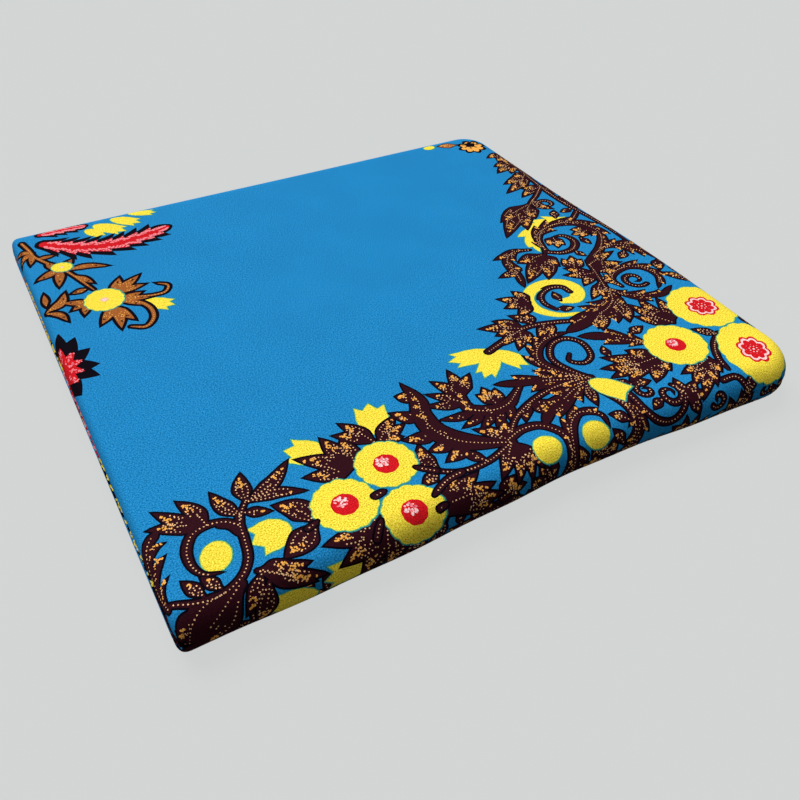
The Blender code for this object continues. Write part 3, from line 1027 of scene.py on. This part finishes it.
def back_left_ornament(ink):
    """The feathery leaf, the small flower and the stems at the back left corner."""
    brown = {"fill": BROWN, "outline": 1.5, "marks": NAVY, "speckle": ORANGE}
    ink.feather([(-131, 128), (-119, 128), (-108, 127)], 7, 4)
    for start, heading, length, width in (((-109, 122), 310, 11, 7), ((-104, 125), 316, 17, 9),
                                          ((-94, 128), 320, 15, 8), ((-84, 130), 338, 13, 6)):
        ink.bud(start, heading, length, width, 3)
    ink.feather([(-131, 117), (-122, 110), (-112, 104), (-99, 101), (-85, 102), (-70, 106)], 13.5, 9)
    ink.stem([(-141, 123), (-139, 114), (-138, 107), (-133, 97), (-126, 84), (-119, 63)], 1.5, **brown)
    ink.hand((-138, 111), ((-146, 114), (-146, 105), (-141, 100)), 3.2, **brown)
    ink.leaf((-137, 104), (-129, 104), 2.6, **brown)
    ink.hand((-129, 90), ((-141, 84), (-133, 74), (-122, 96), (-134, 99)), 4.4, **brown)
    ink.leaf((-127, 87), (-108, 82), 3.8, 0.1, **brown)
    ink.leaf((-124, 80), (-118, 70), 3.6, **brown)
    ink.leaf((-122, 66), (-129, 65), 3, **brown)
    ink.hand((-112, 57), ((-106, 68), (-97, 66), (-97, 57)), 5, **brown)
    ink.hand((-115, 46), ((-123, 34), (-116, 27), (-109, 31)), 5, **brown)
    ink.hand((-123, 54), ((-135, 59), (-132, 51), (-128, 45)), 4, **brown)
    ink.hand((-110, 50), ((-98, 45), (-100, 51), (-103, 41)), 4.2, **brown)
    ink.stem([(-109, 50), (-102, 48), (-96, 46), (-90, 46), (-87, 51), (-91, 55)], 1.4, **brown)
    ink.stem([(-109, 47), (-103, 43), (-100, 36), (-101, 28), (-106, 23), (-112, 26)], 2, **brown)
    ink.bud((-102, 43), 323, 14, 9)
    ink.leaf((-143, 55), (-132, 67), 4.6, -0.15, **brown)
    ink.leaf((-143, 54), (-136, 44), 3.2, 0.15, **brown)
    ink.leaf((-142, 60), (-141, 70), 2.6, **brown)
    ink.spikes((-148, 10), ((-142, 36), (-136, 30), (-132, 19), (-131, 6), (-133, -2), (-143, -11)), 10, NAVY)
    petals = ((-144, 26), (-139, 19), (-137, 12), (-138, 4), (-142, -2))
    ink.spikes((-148, 10), petals, 6, RED)
    for petal in petals:
        for share in (0.85, 0.7, 0.5):
            ink.clump(np.array((-148, 10)) * (1 - share) + np.array(petal) * share, 1.2, 7, PINK)


# Where leaflets fill in between the larger ornament: along the right edge and over the front roll.
BORDER_BAND = (
    (138, 108), (132, 84), (124, 60), (114, 36), (98, 8), (82, -4), (74, -26), (60, -42), (44, -54),
    (30, -62), (26, -80), (2, -88), (-12, -90), (-20, -104), (-22, -122), (-20, -134), (-34, -158),
    (146, -158), (154, -60), (154, 60), (150, 108),
)
GAP_STEP = 1.8
SMALLEST_GAP = 3.4
WIDEST_LEAFLET = 6.5
# A leaflet's root and tips, as shares of the gap, and the gap from which it has three tips.
LEAFLET_ROOT = 0.15
MIDDLE_TIP = 0.8
SIDE_TIP = 0.3
SIDE_SPREAD = 0.8
THREE_TIP_GAP = SMALLEST_GAP * 1.4
LEAFLET_WIDTH = 1.1
LEAFLET_OUTLINE = OUTLINE * 0.85


def fill_gaps(ink, region):
    """Leaflets that grow into the gaps left in a region, the widest gap first, each from the nearest rim."""
    region = np.array(region, float)
    spans = zip(region.min(axis=0), region.max(axis=0))
    across, along = (np.arange(low, high, GAP_STEP) for low, high in spans)
    places = np.array([(x, y) for x in across for y in along])
    places = places[inside(places, region)]
    loops = [loop for _, level, loop, _ in ink.shapes if level in (PALE, EDGE)]
    gaps = np.full(len(places), np.inf)
    nearest = np.zeros((len(places), 2))
    while True:
        for loop in loops:
            away = np.hypot(*(places[:, None, :] - loop[None, :, :]).transpose(2, 0, 1))
            closest = away.argmin(axis=1)
            shortest = away[np.arange(len(places)), closest]
            closer = shortest < gaps
            gaps[closer] = shortest[closer]
            nearest[closer] = loop[closest[closer]]
            gaps[inside(places, loop)] = 0.0
        widest = gaps.argmax()
        if gaps[widest] < SMALLEST_GAP:
            return
        count = len(ink.shapes)
        start, away = nearest[widest], places[widest] - nearest[widest]
        tips = [places[widest] + away * MIDDLE_TIP]
        if gaps[widest] > THREE_TIP_GAP:
            aside = np.array([-away[1], away[0]]) * SIDE_SPREAD
            tips += [places[widest] + away * SIDE_TIP + side for side in (aside, -aside)]
        width = min(WIDEST_LEAFLET, gaps[widest] * LEAFLET_WIDTH)
        ink.hand(start - away * LEAFLET_ROOT, tips, width, outline=LEAFLET_OUTLINE)
        loops = [loop for _, level, loop, _ in ink.shapes[count:] if level == EDGE]


PRINT_SEED = 11
TURNED_PRINT_SHIFT = 12.0


def whole_print(middle):
    """The print of the outermost ply: the top panel's ornament, and the same turned round below."""
    ink = Ink(PRINT_SEED)
    for ornament in (front_left_ornament, blossom_ornament, acanthus_ornament, middle_stem_ornament,
                     right_front_ornament, front_roll_ornament, border_ornament, border_foot_ornament,
                     corner_flower, right_blossom_ornament, back_left_ornament):
        ornament(ink)
    ink.round = BLOSSOMS
    blossoms(ink)
    ink.round = LEAVES
    fill_gaps(ink, BORDER_BAND)
    ink.round = STALKS
    stalk_ends(ink)
    upper = ink.printed()
    centre = np.array([0.0, 2.0 * middle - TURNED_PRINT_SHIFT])
    turned = [(centre - loop, tint) for loop, tint in upper]
    return turned + [(loop - bowed(loop), tint) for loop, tint in upper]


# Building the pieces.

def fill_inputs(tree, node, inputs):
    """A node's inputs, each given a value or linked from another node's output."""
    for key, value in inputs.items():
        if isinstance(value, bpy.types.NodeSocket):
            tree.links.new(value, node.inputs[key])
        else:
            node.inputs[key].default_value = value


def add_node(tree, kind, inputs, **settings):
    """A new shader node with its settings and its inputs."""
    node = tree.nodes.new("ShaderNode" + kind)
    for setting, value in settings.items():
        setattr(node, setting, value)
    fill_inputs(tree, node, inputs)
    return node


def new_material(name):
    """A material with nodes, and its node tree."""
    material = bpy.data.materials.new(name)
    material.use_nodes = True
    return material, material.node_tree


# The cotton: how strongly its yarns mottle the dye, how much their lint pales or deepens it, how far it
# drifts from patch to patch, and its textures' scales over millimetres of cloth.
GRAIN = 0.45
LINT = 0.05
DRIFT = 0.04
NOISE_SPAN = {"From Min": 0.3, "From Max": 0.7}
YARN_NOISE = {"Scale": 1.8, "Detail": 2.0}
PATCH_NOISE = {"Scale": 0.03, "Detail": 3.0}
THREAD_WAVE = {"Scale": 0.62, "Distortion": 0.6, "Detail": 1.0}
WEAVE_BUMP = {"Strength": 0.35, "Distance": 0.00006}
MATTE = {"Roughness": 0.8, "Specular IOR Level": 0.04, "Sheen Weight": 0.006, "Sheen Roughness": 0.4}


def linen_material(name):
    """Printed cotton: the print, mottled by the yarns, over a fine plain weave."""
    material, tree = new_material(name)
    dye = add_node(tree, "Attribute", {}, attribute_name="print").outputs["Color"]
    place = add_node(tree, "Attribute", {}, attribute_name="cloth").outputs["Vector"]

    def ranged(source, low, high):
        inputs = {"Value": source, "To Min": low, "To Max": high, **NOISE_SPAN}
        return add_node(tree, "MapRange", inputs).outputs["Result"]

    def combined(operation, first, second):
        return add_node(tree, "Math", {0: first, 1: second}, operation=operation).outputs["Value"]

    yarn, patch = (add_node(tree, "TexNoise", {"Vector": place, **noise}).outputs["Fac"]
                   for noise in (YARN_NOISE, PATCH_NOISE))
    grain, drift = ranged(yarn, 1.0 - GRAIN, 1.0 + GRAIN), ranged(patch, 1.0 - DRIFT, 1.0 + DRIFT)
    mottle = combined("MULTIPLY", grain, drift)
    green = add_node(tree, "SeparateColor", {"Color": dye}).outputs["Green"]
    lint = combined("MULTIPLY", green, ranged(yarn, -LINT, LINT))
    mottled = add_node(tree, "VectorMath", {0: dye, 1: mottle, 2: lint}, operation="MULTIPLY_ADD")
    threads = [
        add_node(tree, "TexWave", {"Vector": place, **THREAD_WAVE}, wave_type="BANDS",
                 bands_direction=direction).outputs["Fac"]
        for direction in ("X", "Y")
    ]
    height = combined("ADD", combined("MAXIMUM", *threads), yarn)
    bump = add_node(tree, "Bump", {"Height": height, **WEAVE_BUMP})
    fill_inputs(tree, tree.nodes["Principled BSDF"],
                {"Base Color": mottled.outputs["Vector"], "Normal": bump.outputs["Normal"], **MATTE})
    return material


# The folded cloth's soft unevenness: the roll's long waves towards its right end, the ripples all along
# it, and the panel's faint swells. A length is the distance over which a wave turns by one radian.
ROLL_WAVE = {"height": 0.45, "length": 17.0, "shift": 0.8, "from": -20.0, "rise": 60.0}
ROLL_RIPPLE = {"height": 0.2, "length": 7.3}
SWELL = {"height": 0.12, "across": 31.0, "along": 37.0, "shift": 1.0}
ROLL_REACH = 8.0
UNDERSIDE_FLAT = 2.0
UNDERSIDE_RISE = 6.0


def relief(points):
    """The points moved by the edges' bows, the roll's waves and the panel's swells."""
    moved = points.copy()
    moved[:, :2] += bowed(points)
    x, y, z = points.T
    upper = smooth((z - UNDERSIDE_FLAT) / UNDERSIDE_RISE)
    front = smooth((FRONT - y) / ROLL_REACH)
    swelling = smooth((x - ROLL_WAVE["from"]) / ROLL_WAVE["rise"])
    wave = ROLL_WAVE["height"] * np.sin(x / ROLL_WAVE["length"] + ROLL_WAVE["shift"]) * swelling
    ripple = ROLL_RIPPLE["height"] * np.sin(x / ROLL_RIPPLE["length"])
    swell = SWELL["height"] * np.sin(x / SWELL["across"] + SWELL["shift"]) * np.sin(y / SWELL["along"])
    moved[:, 1] += (wave + ripple) * front
    moved[:, 2] += swell * upper * (1.0 - front)
    return moved


def add_object(name, points, faces, tints, flat, material, turned=None):
    """A mesh object in metres, with its print, its flat cloth coordinates and its bake map."""
    mesh = bpy.data.meshes.new(name)
    mesh.from_pydata([tuple(point) for point in points * MM], [], faces.tolist())
    mesh.shade_smooth()
    mesh.materials.append(material)
    dye = mesh.color_attributes.new("print", "FLOAT_COLOR", "CORNER")
    per_corner = np.repeat(np.column_stack([tints, np.ones(len(tints))]), 3, axis=0)
    dye.data.foreach_set("color", per_corner.astype(np.float32).ravel())
    cloth = mesh.attributes.new("cloth", "FLOAT_VECTOR", "POINT")
    places = np.column_stack([flat, np.zeros(len(flat))])
    cloth.data.foreach_set("vector", places.astype(np.float32).ravel())
    low, high = flat.min(axis=0), flat.max(axis=0)
    chart = mesh.uv_layers.new(name="OFBake")
    chart.data.foreach_set("uv", ((flat - low) / (high - low))[faces.ravel()].astype(np.float32).ravel())
    if turned is not None:
        mesh.normals_split_custom_set_from_vertices(turned)
    obj = bpy.data.objects.new(name, mesh)
    bpy.context.collection.objects.link(obj)
    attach(obj, "root")
    return obj


def point_normals(points, faces):
    """The smooth normal at each point, from the faces round it."""
    corners = points[faces]
    across = np.cross(corners[:, 1] - corners[:, 0], corners[:, 2] - corners[:, 0])
    total = np.zeros_like(points)
    for corner in range(3):
        np.add.at(total, faces[:, corner], across)
    return total / np.maximum(np.linalg.norm(total, axis=1), TINY)[:, None]


# How near to each other, in millimetres, two points of the cut cloth may lie before they are one.
CUT_PRECISION = 1e-4


def loop_edges(loops, start):
    """The edges round each loop, where the loops' points are numbered on from the start."""
    edges = []
    for loop in loops:
        number = np.arange(len(loop))
        edges.append(np.column_stack([number, np.roll(number, -1)]) + start)
        start += len(loop)
    return np.vstack(edges)


def between_colours(faces, tints):
    """The edges that part faces of two colours."""
    owners = np.tile(np.unique(tints, axis=0, return_inverse=True)[1].ravel(), 3)
    sides = np.sort(np.vstack([faces[:, pair] for pair in ([0, 1], [1, 2], [2, 0])]), axis=1)
    order = np.lexsort(sides.T)
    sides, owners = sides[order], owners[order]
    return sides[1:][(sides[1:] == sides[:-1]).all(axis=1) & (owners[1:] != owners[:-1])]


def colours_at(centres, shapes, ground):
    """The print's colour at each centre, later shapes over earlier ones. The centres are in order of u."""
    tints = np.tile(ground, (len(centres), 1))
    for loop, tint in shapes:
        low, high = loop.min(axis=0), loop.max(axis=0)
        first, last = np.searchsorted(centres[:, 0], (low[0], high[0]))
        height = centres[first:last, 1]
        near = first + np.flatnonzero((height >= low[1]) & (height <= high[1]))
        tints[near[inside(centres[near], loop)]] = tint
    return tints


def printed_sheet(ply, shapes, ground, spacing):
    """The flat cloth cut up along its print: its points, its faces and each face's colour."""
    outline = flat_outline(ply, ply.end_turn, spacing)
    grid = grid_points(ply, spacing)

    def mirrored(places):
        return places * (1.0, -1.0) + (0.0, 2.0 * ply.middle)

    def cut(points, edges):
        flat, _, faces, *_ = delaunay_2d_cdt([Vector(point) for point in points],
                                             [tuple(edge) for edge in edges.tolist()], [], 0, CUT_PRECISION)
        flat, faces = np.array([tuple(point) for point in flat]), np.array(faces)
        centres = flat[faces].mean(axis=1)
        upper = np.where((centres[:, 1] < ply.middle)[:, None], mirrored(centres), centres)
        kept = inside(upper, outline)
        faces, centres = faces[kept], centres[kept]
        order = np.argsort(centres[:, 0])
        return flat, faces[order], colours_at(centres[order], shapes, ground)

    rims = [outline, mirrored(outline)]
    plain = np.vstack([grid, mirrored(grid)] + rims)
    rim_edges = loop_edges(rims, len(grid) * 2)
    loops = [loop for loop, _ in shapes]
    every_edge = np.vstack([rim_edges, loop_edges(loops, len(plain))])
    flat, faces, tints = cut(np.vstack([plain] + loops), every_edge)
    # The cloth is cut again along the edges that show, without what later shapes print over.
    shown, renumbered = np.unique(between_colours(faces, tints), return_inverse=True)
    shown_edges = np.vstack([rim_edges, renumbered.reshape(-1, 2) + len(plain)])
    return cut(np.vstack([plain, flat[shown]]), shown_edges)


def make_cloth(names, ply, shapes, material, spacing):
    """A ply as a thin printed sheet, folded. Two names part it along the front roll's middle line."""
    flat, faces, tints = printed_sheet(ply, shapes, BLUE, spacing)
    points = relief(ply.fold(flat))
    turned = point_normals(points, faces)
    below = flat[faces][:, :, 1].mean(axis=1) < ply.middle
    halves = (np.ones(len(faces), bool),) if len(names) == 1 else (~below, below)
    pieces = []
    for name, half in zip(names, halves):
        used, renumbered = np.unique(faces[half], return_inverse=True)
        here = renumbered.reshape(-1, 3)
        obj = add_object(name, points[used], here, tints[half], flat[used], material, turned[used])
        pieces.append(obj)
    return pieces


# How far apart the points lie that carry the folded form.
OUTER_SPACING = 3.0
INNER_SPACING = 4.0

cotton = linen_material("printed_cotton")
outer_ply = Ply(0)
outer_print = whole_print(outer_ply.middle)
for piece in make_cloth(("outer_cloth", "under_cloth"), outer_ply, outer_print, cotton, OUTER_SPACING):
    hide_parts("outer_ply")


# The print as it shows on the folds of the left edge, from the front to the back: a ground and its dashes.
LEFT_EDGE_PRINT = (
    {"from": -150, "to": -112, "ground": NAVY, "dash": MAROON},
    {"from": -112, "to": -78, "ground": YELLOW, "dash": NAVY},
    {"from": -78, "to": -42, "ground": NAVY, "dash": YELLOW},
    {"from": -42, "to": 18, "ground": RED, "dash": PINK},
    {"from": 18, "to": 45, "ground": YELLOW, "dash": NAVY},
    {"from": 45, "to": 98, "ground": YELLOW, "dash": ORANGE},
    {"from": 98, "to": 150, "ground": BLUE, "dash": BROWN},
)
EDGE_TINTS = (BLUE, BLUE, BLUE, BLUE, BLUE, NAVY, NAVY, MAROON, MAROON, YELLOW, BROWN, TEAL)
BAND_INNER = 1.5
BAND_OUTER = 18.0
SLANTS = (-2.0, 2.0)
DASH_GAPS = (1.5, 4.5)
DASH_WIDTHS = (1.2, 3.4)
LAST_DASH = 6.0
STRIPE_WIDTHS = (2.5, 11.0)
STRIPE_GAPS = (0.0, 6.0)


def edge_stripes(number):
    """Short slanted stripes of the print's colours, where a deeper ply shows its folds."""
    ink = Ink(number)

    def stripe(line, axis, outward, start, width, tint, level):
        slant = ink.chance.uniform(*SLANTS)
        inner, outer, end = line + outward * BAND_INNER, line + outward * BAND_OUTER, start + width
        loop = [(inner, start), (inner, end), (outer, end + slant), (outer, start + slant)]
        ink.paint(loop if axis == 0 else [point[::-1] for point in loop], tint, level)

    for band in LEFT_EDGE_PRINT:
        ground, dash = (band["ground"], band["dash"]) if number % 2 else (band["dash"], band["ground"])
        stripe(LEFT, 0, -1, band["from"], band["to"] - band["from"], ground, FILL)
        place = band["from"]
        while place < band["to"] - LAST_DASH:
            place += ink.chance.uniform(*DASH_GAPS)
            width = ink.chance.uniform(*DASH_WIDTHS)
            stripe(LEFT, 0, -1, place, width, dash, MARK)
            place += width
    for line, axis in ((RIGHT, 0), (BACK, 1)):
        place = -WIDTH / 2
        while place < WIDTH / 2:
            width = ink.chance.uniform(*STRIPE_WIDTHS)
            stripe(line, axis, 1, place, width, ink.chance.choice(EDGE_TINTS), FILL)
            place += width + ink.chance.uniform(*STRIPE_GAPS)
    return ink.printed()


for number, (name, node) in enumerate((("second_cloth", "second_ply"), ("third_cloth", "third_ply")), 1):
    inner = make_cloth((name,), Ply(number), edge_stripes(number), cotton, INNER_SPACING)
    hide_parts(node)


# The hidden layers: their folds show between the third ply's lips, a pitch apart.
LAYER_PITCH = 0.8
LAYER_DEPTH = 0.5
LAYER_WANDER = 0.16
BELT_LOW = 2.0 * HALF - LIP_HEIGHTS[2] - LAYER_PITCH
BELT_HIGH = LIP_HEIGHTS[2] + LAYER_PITCH
BELT_ROWS = 44
LAYER_STEP = 3.0
UPPER_TURNS = (0.0, 0.15, 0.3, 0.42, 0.54)
RIM_TURN = 0.5
CORE_HALF = HALF - PITCH * CORE
UPPER_LEVELS = [HALF + CORE_HALF * math.cos(turn * math.pi / 2) for turn in UPPER_TURNS]
BELT_LEVELS = list(np.linspace(BELT_HIGH, BELT_LOW, BELT_ROWS))
LAYER_LEVELS = UPPER_LEVELS + BELT_LEVELS + [2.0 * HALF - level for level in UPPER_LEVELS[::-1]]
# Along the rim the folds wander up and down, and some are deeper than others.
WANDER_LENGTHS = (19.0, 7.7)
WANDER_SHIFT = 1.3
DEPTH_LENGTH = 23.0
DEPTH_SHIFT = 2.4
PATCH_SEED = 5
PATCH_LENGTHS = (6.0, 34.0)
PATCH_COUNT = 120


def layer_rows(ply, rim, along):
    """A row of points round the hidden layers at each level. The sides are grooved into folds."""
    spot = ply.spots(rim)
    spot.pop("outside")
    count = len(rim)
    direction = ply.directions(spot, np.full(count, RIM_TURN))
    outward = spot["sign"] * direction
    outward /= np.linalg.norm(outward, axis=1)[:, None]
    long_wave, short_wave = (along / length for length in WANDER_LENGTHS)
    wander = LAYER_WANDER * (np.sin(long_wave) + np.sin(short_wave + WANDER_SHIFT))
    rows = []
    for level in LAYER_LEVELS:
        turn = np.arccos(np.clip((max(level, 2.0 * HALF - level) - HALF) / CORE_HALF, 0.0, 1.0))
        row = ply.place(spot, direction, np.full(count, turn / (math.pi / 2)))
        row[:, 2] = level
        layer = (level - BELT_LOW + wander) / LAYER_PITCH
        fade = smooth((level - BELT_LOW) / LAYER_PITCH) * smooth((BELT_HIGH - level) / LAYER_PITCH)
        uneven = 0.5 + 0.5 * np.sin(along / DEPTH_LENGTH + np.floor(layer) * DEPTH_SHIFT)
        groove = (1.0 - np.abs(np.sin(layer * math.pi))) ** 2 + 0.5 * uneven
        row[:, :2] -= outward * (LAYER_DEPTH * fade * groove)[:, None]
        rows.append(row)
    return rows


def layer_patches():
    """For each fold of the hidden layers, where its patches of colour end and their colours."""
    chance = random.Random(PATCH_SEED)
    patches = []
    for _ in range(int((BELT_HIGH - BELT_LOW) / LAYER_PITCH) + 2):
        ends = np.cumsum([chance.uniform(*PATCH_LENGTHS) for _ in range(PATCH_COUNT)])
        patches.append((ends, [chance.choice(EDGE_TINTS) for _ in ends]))
    return patches


def make_inner_layers(name, ply, material):
    """The hidden layers as one rounded body, its sides grooved into the folds of the cloth."""
    rim = flat_outline(ply, lambda front, share: np.full(len(share), RIM_TURN), LAYER_STEP)
    steps = np.hypot(*(np.roll(rim, -1, axis=0) - rim).T)
    along = np.concatenate([[0.0], np.cumsum(steps)[:-1]])
    rows = layer_rows(ply, rim, along)
    ends = [np.array([[0.0, 0.0, rows[end][0, 2]]]) for end in (0, -1)]
    points = np.vstack(rows + ends)
    patches = layer_patches()
    count = len(rim)
    faces, tints = [], []
    for row in range(len(rows) - 1):
        level = (LAYER_LEVELS[row] + LAYER_LEVELS[row + 1]) / 2
        bounds, colours = patches[int(np.clip((level - BELT_LOW) / LAYER_PITCH, 0, len(patches) - 1))]
        for column in range(count):
            beside = (column + 1) % count
            a, b = row * count + column, row * count + beside
            c, d = a + count, b + count
            faces += [(a, c, b), (b, c, d)]
            tints += [colours[np.searchsorted(bounds, along[column])]] * 2
    last = (len(rows) - 1) * count
    for column in range(count):
        beside = (column + 1) % count
        faces += [(column, beside, len(points) - 2), (last + beside, last + column, len(points) - 1)]
        tints += [BLUE] * 2
    reach = np.repeat(np.arange(len(rows)) * LAYER_PITCH, count)
    flat = np.column_stack([np.tile(along, len(rows)), reach])
    flat = np.vstack([flat, [[0.0, -1.0], [0.0, reach.max() + 1.0]]])
    obj = add_object(name, relief(points), np.array(faces), np.array(tints), flat, material)
    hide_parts("folded_core")


make_inner_layers("inner_layers", Ply(CORE), linen_material("layered_edges"))


# The floor, the lights and the camera.

FLOOR_GREY = colour(210, 213, 212)
FLOOR_GLOW = 0.93
FLOOR_BOUNCE = 0.3


def shade(tint, share=1.0):
    """A share of a colour, opaque."""
    return (*(tint * share), 1.0)


def mix_by_ray(tree, seen, thrown, output):
    """One look for what the camera sees of a surface or the sky, and another for the light it throws."""
    camera_ray = add_node(tree, "LightPath", {}).outputs["Is Camera Ray"]
    mix = add_node(tree, "MixShader", {"Fac": camera_ray, 1: thrown, 2: seen})
    fill_inputs(tree, tree.nodes[output], {"Surface": mix.outputs["Shader"]})


def floor_material():
    """Pale paper that glows a little, so that shadows on it stay faint, and throws little light back."""
    material, tree = new_material("floor_grey")
    pale = tree.nodes["Principled BSDF"]
    fill_inputs(tree, pale, {
        "Base Color": shade(FLOOR_GREY, 1.0 - FLOOR_GLOW), "Roughness": 1.0, "Specular IOR Level": 0.0,
        "Emission Color": shade(FLOOR_GREY), "Emission Strength": FLOOR_GLOW,
    })
    dark = add_node(tree, "BsdfDiffuse", {"Color": shade(FLOOR_GREY, FLOOR_BOUNCE)})
    mix_by_ray(tree, pale.outputs["BSDF"], dark.outputs["BSDF"], "Material Output")
    return material


FLOOR_SIZE = 6.0
FLOOR_GAP = 0.0002
floor_mesh = bpy.data.meshes.new("floor")
reach = FLOOR_SIZE / 2
floor_corners = [(-reach, -reach, 0), (reach, -reach, 0), (reach, reach, 0), (-reach, reach, 0)]
floor_mesh.from_pydata(floor_corners, [], [(0, 1, 2, 3)])
floor_mesh.materials.append(floor_material())
floor = bpy.data.objects.new("floor", floor_mesh)
floor.location.z = -FLOOR_GAP
bpy.context.collection.objects.link(floor)


def soft_sun(name, towards, strength, softness):
    """An even light from far off, in the direction given, soft by its apparent size in degrees."""
    light = bpy.data.lights.new(name, "SUN")
    light.energy = strength
    light.angle = math.radians(softness)
    obj = bpy.data.objects.new(name, light)
    obj.rotation_euler = Vector(towards).to_track_quat("Z", "Y").to_euler()
    bpy.context.collection.objects.link(obj)


SUN = {"towards": (-0.14, 0.50, 0.85), "strength": 3.2, "softness": 45.0}
SKY_LIGHT = 0.16
soft_sun("overhead", **SUN)


def make_world():
    """A soft even light all round, and a pale backdrop beyond the floor."""
    world = bpy.data.worlds.new("studio")
    world.use_nodes = True
    tree = world.node_tree
    light = tree.nodes["Background"]
    fill_inputs(tree, light, {"Color": (1.0, 1.0, 1.0, 1.0), "Strength": SKY_LIGHT})
    backdrop = add_node(tree, "Background", {"Color": shade(FLOOR_GREY)})
    mix_by_ray(tree, backdrop.outputs["Background"], light.outputs["Background"], "World Output")
    bpy.context.scene.world = world


make_world()
bpy.context.scene.view_settings.view_transform = "Standard"

LENS = 37.54
AZIMUTH, ELEVATION, ROLL = (math.radians(angle) for angle in (30.65, 40.94, 1.59))
CAMERA_PLACE = (-0.1619, -0.2979, 0.2449)


def make_camera():
    """The camera at the photograph's angle: azimuth turns it from +Y towards +X."""
    data = bpy.data.cameras.new("camera")
    data.lens = LENS
    data.sensor_width = 36.0
    data.clip_start = 0.01
    obj = bpy.data.objects.new("camera", data)
    ahead = Vector((math.sin(AZIMUTH) * math.cos(ELEVATION), math.cos(AZIMUTH) * math.cos(ELEVATION),
                    -math.sin(ELEVATION)))
    right = Vector((math.cos(AZIMUTH), -math.sin(AZIMUTH), 0.0))
    above = right.cross(ahead)
    side = math.cos(ROLL) * right + math.sin(ROLL) * above
    above = math.cos(ROLL) * above - math.sin(ROLL) * right
    turned = Matrix((side, above, -ahead)).transposed().to_4x4()
    obj.matrix_world = Matrix.Translation(CAMERA_PLACE) @ turned
    bpy.context.collection.objects.link(obj)
    bpy.context.scene.camera = obj


make_camera()
